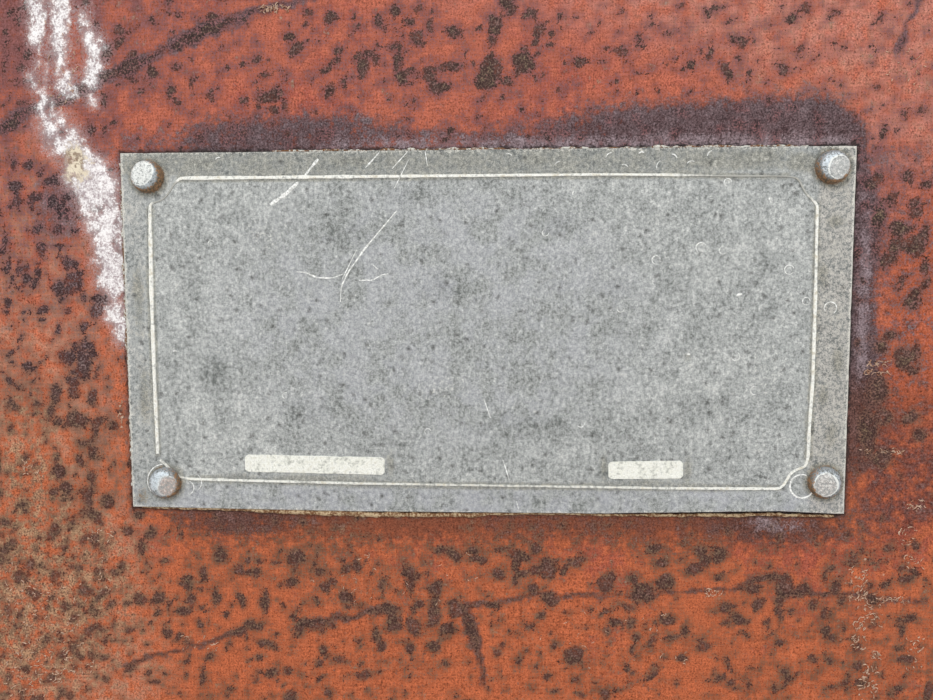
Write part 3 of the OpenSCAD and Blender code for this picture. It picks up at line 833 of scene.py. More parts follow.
        (56, -75, 0.6, 1.5, 25), (53.3, -78.7, 1.4, 0.6), (56.3, -79.5, 0.9, 0.7), (58.3, -80.5, 0.9, 0.5),
        (59, -78, 0.5, 0.3), (61, -79, 0.4, 0.8),
    ],
    "faintSpots": [
        (-104.5, 15, 1.8, 1.2, 20), (-101.5, 11.8, 1.2, 2, 30), (-105, 10.2, 1.6, 1),
        (-106.5, 12.6, 1, 2.2), (-91.2, 13.5, 2, 1.4, 30), (-93.4, 9.4, 1.4, 2.2, -20),
        (-90.2, 8.6, 1.2, 1.6), (-95, 28.2, 1.4, 2.4, -25), (-92.2, 26.4, 1.8, 1.1, 30),
        (-97.4, 30.6, 1, 1.6), (-93, 33.4, 1.8, 0.8, -15), (-90.4, 29.4, 0.9, 1.5),
        (-88.6, -4.6, 1.4, 1.8, 30), (-93.6, -5.2, 1.6, 1.2), (-87.6, -9.4, 1, 1.8, -20),
        (-91, -10.4, 1.8, 1), (-90, -20.6, 2.4, 1, 8), (-86, -21.6, 1.3, 0.8), (-106, -12, 1, 2, 15),
        (-107.4, -17, 1.4, 1.2), (-105.5, -29, 1, 1.8, -15), (-106.8, -33, 1.2, 1),
        (-94.5, -38.6, 1.8, 1, 20), (-92.4, -36, 1, 1.4), (-104.5, 51.8, 0.9, 0.6), (-75, 67.7, 0.9, 0.5),
        (-75, 71.7, 0.7, 0.7), (-67, 58.5, 1.9, 1.3), (-80.5, 55, 1.2, 0.8), (-74.5, 51, 0.7, 0.5),
        (-77, 53, 0.5, 1.2), (-83.5, 45, 1, 1.5), (-63.8, 49, 1.2, 0.7), (-38, 70, 2.6, 1.3),
        (-36.5, 66, 1, 0.9), (-35.5, 64, 1, 0.7), (-37, 57.2, 1.2, 0.6), (-51.3, 48, 0.6, 1),
        (-27.5, 69, 0.9, 0.9), (-18.5, 70, 1.7, 2), (-18.3, 65.7, 1.6, 0.7), (-15.5, 67.5, 1.5, 1.4),
        (-13, 70, 1.1, 1.5), (-38.3, 63.8, 1.2, 1), (-9.7, 69, 0.9, 0.8), (-3.5, 62, 1.1, 0.6),
        (-1.8, 58, 1, 1.9), (-3.7, 54.7, 1, 0.7), (13.5, 67, 1.7, 0.8), (17.3, 65.5, 0.8, 0.6),
        (20, 67.5, 0.9, 1.1), (12.5, 59.5, 1.9, 0.8), (18.7, 60.6, 1, 0.7), (25.5, 67, 0.9, 1.3),
        (26.5, 70, 0.8, 0.6), (36.5, 66.8, 0.9, 0.9), (36.3, 57, 0.8, 1), (39, 64, 0.9, 1),
        (43, 69.5, 1.1, 1.3), (42.5, 63.3, 0.8, 0.6), (43.5, 56.3, 1.2, 0.9), (43.3, 60.3, 1, 0.6),
        (20.5, 53.3, 1.1, 0.8), (17.5, 53, 1, 0.5), (53.7, 66.5, 0.9, 0.7), (57, 56.7, 0.8, 0.7),
        (58, 61.8, 1.1, 1), (61.5, 66, 1.7, 0.7), (72.3, 59.4, 1.3, 0.6), (77, 60.5, 1.3, 0.9),
        (76.5, 53.3, 1.3, 1.3), (72.5, 53, 1, 1.3), (86, 43, 1.1, 2), (-105.5, 29, 1.3, 1.4),
        (-99, 27.5, 1.4, 0.9), (-91.5, 23, 1.4, 1.3), (-107.5, 15.5, 1.1, 2), (-101, 14, 1.1, 1.1),
        (-106, 11, 1.3, 0.8), (-108.5, 4.5, 0.9, 1.6), (-101.7, -9, 0.8, 2.2), (-109, -16, 1.4, 2),
        (-94, -10.8, 2.3, 1.5), (-101, -23, 1.4, 0.8), (-108.5, -22, 1.3, 1.3), (-98.5, -28.5, 1.5, 1.5),
        (-98.5, -36.5, 1.4, 1.3), (-96.7, -38.5, 1.3, 1.2), (86.5, -12, 2.4, 3.6), (88, -18.5, 2, 2),
        (85, -22, 2.2, 5), (96, -22, 1.4, 1.6), (-104, -50.5, 1.2, 1.2), (-98.8, -58, 1.1, 1.3),
        (-92.5, -58, 0.9, 0.9), (-96, -53.5, 1.4, 0.8), (-78.2, -55.8, 1, 0.9), (-75, -56, 1.3, 1),
        (-77, -68, 0.9, 1.1), (-69, -72.5, 1.6, 1.2), (-95.5, -66.5, 1.6, 1.2), (-109, -69, 1.9, 1.1),
        (-102, -81.5, 2, 1.5), (-88.5, -81, 1.6, 1.3), (-99, -84, 1.6, 1), (-59, -72, 0.9, 1.6),
        (-59.5, -65.5, 1.3, 1.3), (-37.8, -50.7, 0.9, 0.9), (-48, -62, 1.1, 0.9), (-28.7, -71.7, 0.8, 1),
        (-44, -75, 0.8, 0.7), (-24, -75.8, 0.9, 0.8), (-14.5, -77, 0.9, 0.6), (-12, -78.5, 1, 0.7),
        (-8, -76, 1.3, 1), (-18, -83, 1.3, 1.1), (8, -57, 1.3, 1.5), (-0.5, -58.3, 1.1, 1),
        (31, -59, 1.4, 1), (45, -47.7, 0.8, 0.8), (27, -64, 1.3, 1.1), (36.5, -65.5, 1, 0.7),
        (33, -76.5, 1.2, 1.2), (8.5, -75, 1.3, 2), (9, -66.8, 0.7, 0.6), (7.2, -68.6, 0.7, 0.6),
        (31, -81.2, 2.6, 0.9), (61, -57.7, 2.8, 1.5), (64.2, -65.5, 1.1, 1.3), (64, -69, 1, 0.8),
        (87.5, -65.8, 1.4, 0.9), (81, -66.5, 1, 1.1), (83, -69, 1, 0.9), (81.3, -75, 0.9, 1),
        (88.5, -75.3, 0.8, 1), (89.5, -77.5, 0.8, 0.9), (53.3, -74, 0.9, 1.1), (61, -75.5, 1.4, 0.6),
        (50.5, -82.5, 1.4, 0.6), (98.5, -59.7, 1.3, 1),
    ],
    "scars": [
        [(-107, 45.5, 1.1), (-101, 49.5, 1.1), (-93, 52, 1.4), (-88, 54.5, 1.5), (-83, 57, 1.4),
         (-77, 59, 1.4), (-73, 60.7, 1.1), (-70, 62, 0.6), (-66, 63.7, 1.1), (-60, 66.3, 1.4),
         (-54, 68.2, 1.1), (-50, 70, 0.9), (-44, 71.3, 0.6), (-36, 73.5, 0.5)],
        [(-84, -78, 0.4), (-79, -76.5, 0.3), (-74, -75.4, 0.5), (-70, -74.5, 0.3), (-64, -72, 0.3),
         (-58, -69.5, 0.6)],
        [(-41, -66.4, 0.7), (-33, -65.8, 0.6), (-28, -64.5, 0.6), (-21, -63.7, 0.8)],
        [(-4, -62, 0.6), (2, -61.8, 0.3), (8, -60.5, 0.3), (14, -59.7, 0.5), (25, -59.3, 0.3),
         (31, -59.9, 0.2), (45, -58.5, 0.2), (52, -58.2, 0.2), (56, -57.7, 0.3), (60, -56, 0.5),
         (63, -54.8, 0.6), (66, -55, 0.6)],
        [(68, -58.2, 0.5), (74, -58.3, 0.4), (78, -58.8, 0.3), (84, -59, 0.2), (92, -59.6, 0.2),
         (99, -60, 0.3)],
        [(-4, -63.5, 1.3), (-3, -67, 1.4), (-1.5, -71, 0.9), (0, -74.5, 0.5), (0.4, -81, 0.5)],
    ],
    "smears": [[(93, 71, 0.3), (91, 67.5, 0.4), (90, 65, 0.3), (89.5, 63, 0.4), (88, 60.5, 0.7)]],
    "splashes": [
        [(-98.3, 74, 1.8), (-97.2, 80, 2.4), (-95.6, 86, 3.4), (-94.6, 91, 2.8), (-94, 95, 1.2)],
        [(-92, 74, 1.6), (-92.8, 79, 1.9), (-94.2, 85, 2.2)],
        [(-98.3, 74, 1.8), (-98.1, 68.5, 1.7), (-98.1, 64.5, 1.1), (-98.3, 63, 0.5)],
        [(-92, 74, 1.6), (-92.3, 71, 1.7), (-93, 68.5, 1.4), (-93.5, 62.5, 1.2), (-93.6, 58.3, 0.5)],
        [(-91.6, 56.8, 1.1), (-91.7, 55.1, 1.9), (-90.6, 54.4, 1.1)],
        [(-86.5, 66.4, 0.7), (-86.1, 64.4, 1.5), (-85.3, 62, 1.5), (-85.7, 59.3, 1.7),
         (-86.2, 56.7, 1.5), (-86, 55.4, 0.7)],
        [(-86.6, 52.2, 0.8), (-86.2, 52.2, 0.8)],
        [(-87.2, 71, 0.2), (-87.3, 67.4, 0.3)],
        [(-84.5, 66.3, 0.2), (-83.3, 63, 0.2)],
        [(-98.7, 59.7, 0.3), (-99.2, 57.8, 0.3), (-99, 55.6, 0.3), (-98.5, 54, 0.5), (-97.5, 52.6, 0.9),
         (-97.6, 49, 0.8), (-97.3, 46.5, 1), (-96.2, 44.5, 1.3), (-94, 41.7, 1.1)],
        [(-96.2, 59, 0.2), (-96.4, 56.5, 0.2)],
        [(-95.9, 51.7, 0.2), (-94.7, 48.6, 0.2), (-91.6, 46, 0.5), (-89.5, 43.6, 0.7)],
        [(-92, 42.5, 1.2), (-91.2, 40.8, 2.2), (-90.2, 38, 3.4), (-87.6, 34.6, 4.2), (-86.1, 32, 4.2),
         (-85.2, 29, 3.8), (-84.5, 26, 3.5), (-83.8, 20, 3), (-83.2, 15, 2.9), (-83, 12.5, 2.7),
         (-83.2, 9.2, 1)],
        [(-83, 5.8, 1.5), (-82.4, 4, 1.3), (-81.6, 1, 0.5), (-81.2, -1, 0.3)],
    ],
    "holesInSplash": [
        (-86, 28, 1.4, 0.9), (-85.8, 23.2, 0.9, 0.7), (-81.8, 25, 0.5, 1.4), (-82.5, 20.5, 0.9, 0.9),
        (-81.6, 18.3, 0.6, 0.9), (-85.1, 7, 2.5, 1.3), (-87.7, 26.7, 1.1, 0.8), (-92, 38.6, 0.7, 0.6),
        (-91.4, 35.3, 0.8, 0.7),
    ],
    "stainAbove": [
        (-85, 43, 0.2), (-80, 44.5, 0.35), (-68, 45.5, 0.5), (-62, 47.5, 0.9), (-50, 48.3, 0.95),
        (-38, 49, 0.95), (-28, 48.5, 0.85), (-20, 47.5, 0.75), (-10, 45, 0.7), (0, 45, 0.75), (8, 46, 0.7),
        (20, 48.5, 0.9), (32, 49.5, 1.15), (60, 50, 1.4), (74, 50.5, 1.3), (80, 47, 1.1), (84, 42, 0.9),
    ],
    "stainRight": [
        (-50, 84, 0.3), (-42, 84, 0.45), (-34, 84.5, 0.6), (-28, 87.5, 0.85), (-20, 88.5, 0.95),
        (-12, 89, 1.1), (-5, 87.5, 1.1), (3, 86, 1.05), (10, 85.8, 1.05), (18, 86.8, 1.15), (25, 87, 1.15),
        (30, 85.6, 1.1), (36, 83.4, 0.95), (42, 83, 0.9), (48, 84, 0.3),
    ],
    "stainBelow": [
        (-84, -42, 0.2), (-76, -44, 0.4), (-66, -46, 0.6), (-60, -48, 0.75), (-50, -47, 0.75),
        (-42, -45, 0.5), (-30, -44, 0.3), (-20, -43, 0.1), (40, -43, 0.15), (52, -46, 0.6),
        (62, -47.5, 0.8), (72, -48, 0.6), (80, -47.5, 0.5), (88, -47, 0.5), (93, -44, 0.4),
    ],
}


def sheetFields(x, z, front, look):
    # The masks that the sheet's material reads and its relief follows. The back takes its scattered
    # spots from another stretch of the same pattern, twice as large for its wider mesh, and has
    # none of the listed marks.
    scale = np.where(front > 0, 1.0, 2.0)
    shifted, level = np.where(front > 0, x, x / 2 + 600), z / scale
    warpX = shifted + 1.5 / scale * rough(shifted, level, 2.6, 5)
    warpZ = level + 1.5 / scale * rough(shifted, level, 2.6, 9)
    patches = {name: patch(x, z, place) for name, place in look["patches"].items()}
    mossy, lilac = patches["mossy"], patches["lilac"]
    placed = fade(edgeGap(x, z, *look["seen"]), -2, 1) * front
    density = 0.42 + 0.9 * rough(shifted, level, 42, 15) + 0.5 * rough(shifted, level, 14, 19)
    density = density + 0.25 * fade(z, -45, -70) + 0.35 * mossy + 0.3 * fade(x, -85, -95)
    kept = {"large": placed, "middle": placed * (mossy < 0.5), "small": front < 1}
    scattered = [
        scatterGap(warpX, warpZ, cell, largest, share * density, seed) + farOff * kept[name]
        for name, (cell, largest, share, seed) in look["scatter"].items()
    ]
    spot = np.minimum.reduce(scattered) * scale
    hidden = np.where(front > 0, 0, farOff)
    placedX, placedZ = np.where(front > 0, warpX, x), warpZ
    scars, smears = (strokeGap(placedX, placedZ, look[name]) for name in ("scars", "smears"))
    byHand = np.minimum(spotGap(placedX, placedZ, look["darkSpots"]), scars + 0.7)
    faint = np.minimum(spotGap(placedX, placedZ, look["faintSpots"]), smears)
    spot = np.minimum(spot, np.minimum(byHand, faint + 0.55) + hidden)
    splash = strokeGap(placedX, placedZ, look["splashes"])
    splash = np.maximum(splash, -spotGap(x, z, look["holesInSplash"])) + 0.55 * fade(z, 44, 54) + hidden
    fromTop, fromRight, fromLow = z - plateHigh[2], x - plateHigh[0], plateLow[2] - z
    above = bandMask(x, z, plateHigh[2], look["stainAbove"], 1.5, 0.5) * (z > 0)
    beside = bandMask(z, x, plateHigh[0], look["stainRight"], 1.5, 0.5) * (x > 0)
    below = bandMask(x, z, plateLow[2], look["stainBelow"], 1.3, 0.6) * (z < 0)
    dragged = np.minimum(strokeGap(warpX, warpZ, look["scars"]), strokeGap(warpX, warpZ, look["smears"]))
    stain = strongest(
        above * fade(x, 86, 80),
        beside * fade(np.abs(z), 52, 42),
        below * fade(np.abs(x), 98, 90),
        0.45 * fade(plateLow[0] - x, 3, 1) * (z < 40) * (z > -42),
        0.85 * fade(dragged, 1.2, -0.4),
        0.7 * lilac,
    )
    bloom = strongest(
        fade(fromTop, 4.5, 1.2) * (fromTop > 0) * fade(x, -50, -20) * fade(x, 82, 76),
        fade(np.abs(fromRight - 3.0), 2.2, 0.5) * fade(np.abs(z - 8), 26, 12),
        0.6 * lilac,
        0.9 * patches["bloomBelow"],
    )
    # Darker brown below the plate: a broad band, and right under the plate's lower edge a thin painted
    # shadow
    umber = 1.1 * fade(fromLow, 14, 1) + 0.8 * fade(fromLow, 4.5, 1) * fade(np.abs(x - 25), 45, 32)
    dull = 0.06 * fade(z, 45, 68) + 0.2 * rough(shifted, z, 13, 59) - 0.06 * mossy
    dull = dull + 0.2 * fade(x, -45, -85) * fade(z, 25, 45)
    dull = dull - 0.2 * fade(x, 84, 90) * fade(x, 125, 98) * fade(z, 55, 32) * fade(z, -70, -40)
    dull = dull - 0.12 * fade(x, 5, 35) * fade(z, 40, 52)
    return {
        "spot": spot,
        "density": density,
        "splash": splash,
        "stain": stain * front,
        "bloom": bloom * front,
        "low": fade(z + 6 * rough(x, z, 25, 51), 35, -35),
        "red": 0.35 + 0.9 * rough(shifted, z, 16, 55) - 0.35 * fade(z, -50, -70),
        "pink": strongest(fade(z + 0.25 * x, 62, 82), patches["pinkRight"]),
        "deepRed": patches["deepRed"] * front,
        "umber": umber * fade(np.abs(x - 5) / 78, 1.1, 0.85) * (fromLow > 0) * front,
        "faded": fade(x, -72, -90) * fade(z, -34, -50),
        "vivid": fade(x, 85, 91) * fade(x, 125, 98) * fade(np.abs(z - 8), 34, 16) * front,
        "dull": dull,
        "dust": fade(x + 0.1 * z, -74, -94) * fade(z, 60, 20) + 0.4 * fade(z + 0.5 * x, 70, 95),
        "mauve": 0.8 * fade(x, -80, -87) * fade(np.abs(z - 16), 38, 18) * front,
        "moss": 0.62 * mossy + 0.4 * patches["mossLeft"],
        "flake": strongest(patches["flakeRight"], patches["flakeLeft"]),
        "ochre": patches["ochre"],
    }


def sheetRelief(x, z, fields, look):
    # How far the face stands proud: slow waves away from the plate, crusted spots, the splash's
    # thickness, and a round edge
    inward = edgeGap(x, z, plateLow, plateHigh)
    waves = 0.5 * rough(x, z, 90, 41) * fade(-inward, 4, 30)
    crust = 0.09 * fade(fields["spot"], 0.5, -0.8) * (0.5 + cloud(x, z, 1.7, 43))
    poured = 0.25 * fade(fields["splash"] + 3 * rough(x, z, 3, 45), 0.6, -1.2)
    poured = poured * (0.5 + cloud(x, z, 2.2, 47)) * fade(inward, 0, -1)
    return waves + crust + poured - roundedEdge(x, z, sheetLow, sheetHigh, look["edgeRound"])


def makeSheet(look):
    edge, fine, coarse = look["edge"], look["fineStep"], look["coarseStep"]
    marksX = [sheetLow[0], sheetLow[0] + edge, *look["fineAcross"], sheetHigh[0] - edge, sheetHigh[0]]
    marksZ = [sheetLow[2], sheetLow[2] + edge, *look["fineUp"], sheetHigh[2] - edge, sheetHigh[2]]
    steps = [edge / 3, coarse, fine, coarse, edge / 3]
    mount = next(m for m in frame["record"]["mounts"] if m["name"] == "fixing_holes")
    spacingX, spacingZ = mount["dims"]["spacing_x_mm"], mount["dims"]["spacing_y_mm"]
    radius = mount["dims"]["hole_r_mm"]
    holes = [(side * spacingX / 2, level * spacingZ / 2, radius) for side in (-1, 1) for level in (-1, 1)]
    x, z, front, faces = holedPlate(gridLines(marksX, steps), gridLines(marksZ, steps), holes)
    fields = sheetFields(x, z, front, look)
    y = np.where(front > 0, sheetLow[1] - sheetRelief(x, z, fields, look), sheetHigh[1])
    points = np.stack([x, y, z], 1)
    material = sheetMaterial(sheetColours)
    makePiece("coverSheet", points, faces, material, "sheet_paint", ["cover_sheet"], fields)


makeSheet(sheetLook)
print("stage: cover sheet")


# Data plate: weathered aluminium, slightly buckled, its lower edge lifted towards the right
plateColours = {
    "light": (206, 208, 206),
    "grey": (160, 163, 162),
    "dark": (104, 108, 106),
    "cool": (158, 160, 170),
    "warm": (190, 182, 172),
    "olive": (140, 138, 124),
    "oliveDark": (80, 78, 64),
    "rust": (120, 90, 56),
    # Pale worn metal along the edges, which is also painted highlight there
    "edge": (210, 208, 200),
    "pit": (78, 78, 76),
    "chalk": (222, 224, 224),
}

plateLook = {
    "step": 0.55,
    "edge": 0.3,
    "edgeRound": 0.25,
    "buckle": 0.22,
    "holeRadius": 2.1,
    "headRadius": 3.5,
    # Soft oval patches, as on the sheet
    "coolPatch": (-10, 4, 1, 0.625, 62, 30),
    "rustPatch": (-78, -37.5, 1, 1.6, 2.5, 0.5),
    "lowerEdge": [(-80, 0.2), (-30, -0.4), (27, -0.4), (45, 0.2), (66, 0.7), (78, 0.1)],
    "hazes": [
        (41, 15.5, 6, 3), (47.5, 18.5, 3, 2), (38, 25, 6, 3, 25), (-8, -12, 8, 4), (-48, 22, 7, 5),
        (62, -8, 5, 8),
    ],
    "smudges": [
        (-52, 24, 4, 1.6, -40), (-15, 31, 5, 2), (-30, 22, 4, 2), (-8, 10, 6, 2.5), (-60, -8, 3, 6),
        (10, -20, 8, 2), (-40, -18, 6, 2.5), (30, 10, 4, 2), (18, 24, 5, 2), (50, -16, 5, 3),
        (-66, 10, 2, 4), (30, -30, 5, 2),
    ],
    "dirtSpots": [
        (73.5, 12, 1.2, 2.5), (76, 24, 1.6, 1.2), (77.5, -6, 1.2, 3), (74.5, -14, 1, 2),
        (76.5, -22, 1.2, 2.2), (-55, -32.8, 3, 0.8), (-38, -32.9, 9, 0.6), (-20.5, -30, 0.7, 2.2),
        (27.3, -30.5, 0.7, 2.4), (45.6, -30.5, 0.7, 2.2), (36, -33.3, 6, 0.5), (-62, 37.5, 5, 1.3),
        (-28, 37.8, 6, 1.2), (12, 37.6, 5, 1.2), (48, 37, 6, 1.4), (58, 37.6, 6, 1.6), (69, 36.6, 4, 2),
        (-77.4, -37.6, 1.2, 1.6), (-77, 8, 1, 6), (-76.5, -14, 1, 5), (45, -5, 0.5, 0.4),
    ],
}


# The border line round the plate: across, up and half width along each side and each corner
lineLook = {
    "cream": (238, 239, 233),
    "chalk": (240, 240, 234),
    "wornTo": (150, 150, 144),
    "dirt": (166, 154, 122),
    "step": 0.45,
    "left": [(-73.7, -27.4, 0.4), (-73.9, -10, 0.5), (-73.9, 10, 0.52), (-73.6, 27.6, 0.48)],
    "topLeft": [
        (-73.4, 29, 0.3), (-71.7, 29.3, 0.18), (-70.1, 30.1, 0.18), (-68.9, 31.6, 0.16), (-68, 33.1, 0.18),
    ],
    "top": [
        (-66.6, 34.4, 0.42), (-30, 34.4, 0.42), (0, 34.4, 0.37), (27, 34.4, 0.35), (40, 34.2, 0.32),
        (52, 33.9, 0.22), (65.5, 33.7, 0.16),
    ],
    "topRight": [
        (67.5, 33.3, 0.18), (68.2, 32.5, 0.2), (68.8, 31.2, 0.22), (69.6, 29.9, 0.24), (70.8, 28.8, 0.26),
    ],
    "right": [(72, 27.6, 0.34), (72.2, 10, 0.4), (72.2, -10, 0.42), (71.8, -20, 0.42), (71.7, -27.4, 0.4)],
    "bottomRight": [
        (71.2, -29.3, 0.32), (69.5, -29.9, 0.32), (68.2, -30.7, 0.34), (67.3, -32.2, 0.34),
        (66.5, -33.7, 0.34),
    ],
    "bottom": [
        (65.4, -34.3, 0.34), (40, -34.4, 0.29), (0, -34.1, 0.27), (-28, -33.9, 0.29), (-66, -33.2, 0.34),
    ],
    "bottomLeft": [
        (-67.8, -33, 0.28), (-68.6, -32.8, 0.24), (-69.7, -31.8, 0.26), (-71.1, -30.9, 0.28),
        (-72.2, -29.6, 0.28), (-73.2, -28.8, 0.3),
    ],
}
lineSides = [lineLook[side] for side in ("left", "top", "right", "bottom")]


def plateLift(x, z):
    # How far the lower edge has come away from the sheet, most at 57 mm right of the middle
    return 0.55 * fade(z, plateLow[2] + 8, plateLow[2]) * fade(np.abs(x - 57), 27, 9)


def plateFace(x, z):
    # Depth of the front face: slow buckling in front of the flat face, and the lifted lower edge
    buckle = plateLook["buckle"] * np.abs(rough(x, z, 46, 51, 2))
    return plateFront - buckle * fade(edgeGap(x, z, plateLow, plateHigh), 0, 9) - plateLift(x, z)


def plateMaterial(colours):
    s = Shader(
        "plateMetal",
        colours,
        speck=(0.8, 5, 3, 0.74),
        fine=(0.26, 1, 7),
        broad=(5, 4, 13, 0.62),
        rubbed=(0.6, 1, 29, 0.5, (1, 1, 4)),
    )
    speck, fine, broad, rubbed = s.noises.values()
    points, chance = s.cells(2.9, 19)
    # Grey in soft grains, slightly rubbed up and down, with broad cool and dark clouds
    tone = speck * 1.8 + fine * 0.5 + broad * 0.9 + rubbed * 0.4 + s.field("tone") + 0.1
    s.coat = s.mix(s.fade(tone, 1.35, 1.9), "dark", "grey")
    s.lay(s.fade(tone, 1.8, 2.4), "light")
    cool = s.field("cool") * s.grains(0.35, 0.65, broad=1)
    s.lay(cool * 0.5, "cool")
    # Warm dust, olive dirt, each with dark grains in it, and rust
    dark = s.grains(0.56, 0.8, speck=1, fine=0.4)
    warm = s.worn("warm", 0.3, 0.8, broad=1.2, speck=1.2)
    s.lay(warm * 0.5, s.mix(dark, "dark", "warm"))
    olive = s.worn("dirt", 0.2, 1.0, broad=1.4, speck=2.0)
    s.lay(olive * 0.6, s.mix(dark, "oliveDark", "olive"))
    s.lay(s.worn("rust", 0.35, 0.8, speck=2.4) * 0.7, "rust")
    # Soft dark pimples with a dot in them, pale rings round a few, and small light specks
    chosen = s.fade(chance, 0.3, 0.45)
    pimples = s.worn(points, 0.3, 0.08, speck=0.5) * chosen
    dots = s.worn(points, 0.12, 0.05, fine=0.1) * chosen
    rings = s.fade(s.size(points - 0.2), 0.05, 0.015) * s.fade(chance, 0.74, 0.8)
    s.lay(pimples * 0.42, "pit")
    s.lay(dots * 0.6, "pit")
    s.lay(rings * 0.3, "chalk")
    light = s.worn(points, 0.12, 0.05, fine=0.2) * s.fade(chance, 0.24, 0.14)
    # A bright band along the plate's edges, partly worn metal and partly painted highlight, and pale hazes
    worn = s.worn("worn", 0.35, 0.85, speck=2.2, fine=1)
    s.lay(s.most(worn * 0.7, light * 0.75), "edge")
    s.shadeBy(0.52 + fine * 0.5 + speck * 0.44)
    height = s.clamp(speck * 0.6 + fine * 0.3 + rings * 0.2 - dots * 0.3)
    return s.finish(s.clamp(0.5 + speck * 0.3), height, 0.1, 0.1, 0.25)


def plateFields(x, z, inward, look):
    # The masks that the plate's material reads
    fromHead = np.min([np.hypot(x - m[0], z - m[2]) for m in rivetMiddles.values()], 0) - look["headRadius"]
    spots = {name: spotGap(x, z, look[name]) for name in ("smudges", "dirtSpots", "hazes")}
    tone = 0.04 * fade(np.abs(x + 8), 62, 20) + 0.02 * fade(x, 30, 60) + 0.08 * fade(z, 34.5, 36.5)
    return {
        "warm": strongest(fade(x, 70, 74), 0.45 * fade(x, -73, -76)),
        "cool": strongest(fade(z, -33, -36), 0.7 * patch(x, z, look["coolPatch"])),
        "tone": -tone - 0.16 * fade(spots["smudges"], 1.5, -2),
        "dirt": strongest(
            0.85 * fade(spots["dirtSpots"], 1.4, -0.8),
            0.68 * fade(z, 34.2, 35.5) * fade(x, 74, 60) + 0.25 * fade(x, 72, 74),
            0.8 * fade(strokeGap(x, z, lineSides), 0.9, 0.3),
            fade(fromHead, 2.0, 0.3),
        ),
        "rust": strongest(0.75 * fade(fromHead, 0.7, 0), 0.5 * patch(x, z, look["rustPatch"])),
        # Bright edges, partly worn metal and partly painted highlight, with pale hazes and a band near the
        # top
        "worn": strongest(
            0.95 * fade(inward, 0.7, 0.2) * np.maximum(fade(np.abs(x), 74, 78), 0.55),
            0.28 * fade(spots["hazes"], 1, -3),
            0.14 * fade(z, 34.8, 36),
        ),
    }


def makePlate(look):
    edge = look["edge"]
    marksX = [plateLow[0], plateLow[0] + edge, plateHigh[0] - edge, plateHigh[0]]
    marksZ = [plateLow[2], plateLow[2] + edge, plateHigh[2] - edge, plateHigh[2]]
    steps = [edge / 3, look["step"], edge / 3]
    holes = [(middle[0], middle[2], look["holeRadius"]) for middle in rivetMiddles.values()]
    x, z, front, faces = holedPlate(gridLines(marksX, steps), gridLines(marksZ, steps), holes)
    drop = roundedEdge(x, z, plateLow, plateHigh, look["edgeRound"])
    y = np.where(front > 0, plateFace(x, z) + drop, sheetLow[1] - plateLift(x, z))
    inward = edgeGap(x, z, plateLow, plateHigh)
    fields = plateFields(x, z, inward, look)
    # The lower edge is bowed, and all edges have small nicks
    bowX, bow = np.array(look["lowerEdge"]).T
    nick = 0.12 * np.clip(rough(x, z, 2.4, 61) * 2 - 0.35, 0, 1) * fade(inward, 1.2, 0)
    points = np.stack([x - np.sign(x) * nick, y, z - np.sign(z) * nick], 1)
    points[:, 2] += np.interp(x, bowX, bow) * fade(z, plateLow[2] + 8, plateLow[2])
    makePiece("dataPlate", points, faces, plateMaterial(plateColours), "plate_metal", ["data_plate"], fields)


makePlate(plateLook)


# Raised border line and number fields, worn cream paint on the plate's metal
def creamMaterial(name, look):
    s = Shader(name, look, speck=(0.8, 3, 3, 0.6), fine=(0.28, 1, 7), broad=(2.4, 2, 13))
    speck, fine, broad = s.noises.values()
    s.coat = s.mix(s.grains(0.6, 0.8, broad=1, fine=0.4) * 0.7, "cream", "chalk")
    s.lay(s.grains(0.85, 1.2, speck=1, broad=0.8) * 0.6, "dirt")
    gone = s.grains(1.3, 0.98, s.field("whole") * 0.5, speck=1, broad=0.5)
    s.lay(gone * 0.85, "wornTo")
    s.shadeBy(0.84 + fine * 0.34)
    return s.finish(s.clamp(0.5 + speck * 0.3), speck, 0.08, 0.0, 0.35)


def makeLine(look):
    # One line all the way round, with a scallop at each rivet
    order = ("left", "topLeft", "top", "topRight", "right", "bottomRight", "bottom", "bottomLeft")
    path = smoothPath([station for side in order for station in look[side]], look["step"])
    halves = path[:, 2] * (1 + 0.4 * rough(path[:, 0], path[:, 1], 3, 71))
    points, faces = ridge(path[:, :2], halves, reliefHeight, plateFace, shoulder=0.72)
    # Thin stretches are the faded ones: each loop of five points has its station's value
    whole = np.repeat(fade(path[:, 2], 0.12, 0.34), 5)
    fields = {"whole": np.r_[whole, whole[0], whole[-1]]}
    material = creamMaterial("borderCream", look)
    makePiece("borderLine", points, faces, material, "plate_metal", ["data_plate"], fields)


makeLine(lineLook)

fieldLook = {
    "cream": (229, 230, 221),
    "chalk": (242, 243, 238),
    "wornTo": (160, 161, 154),
    "dirt": (190, 188, 170),
    "numberFieldLong": {"start": (-53.6, -29.4), "end": (-21.8, -29.9), "half": 2.05},
    "numberFieldShort": {"start": (28.2, -30.5), "end": (44.6, -30.2), "half": 2.05},
}


def makeFields(look):
    for name in ("numberFieldLong", "numberFieldShort"):
        place = look[name]
        path = smoothPath([place["start"], place["end"]], 0.25)
        fromEnd = np.minimum(path[:, 0] - path[0, 0], path[-1, 0] - path[:, 0])
        rounding = 1 - 0.3 * np.clip(1 - fromEnd / 0.9, 0, 1) ** 2
        halves = place["half"] * rounding * (1 + 0.06 * rough(path[:, 0], path[:, 1], 4, 75))
        points, faces = ridge(path, halves, reliefHeight, plateFace, shoulder=0.94)
        material = creamMaterial(name + "Cream", look)
        fields = {"whole": np.ones(len(points))}
        makePiece(name, points, faces, material, "plate_metal", ["data_plate"], fields)


makeFields(fieldLook)


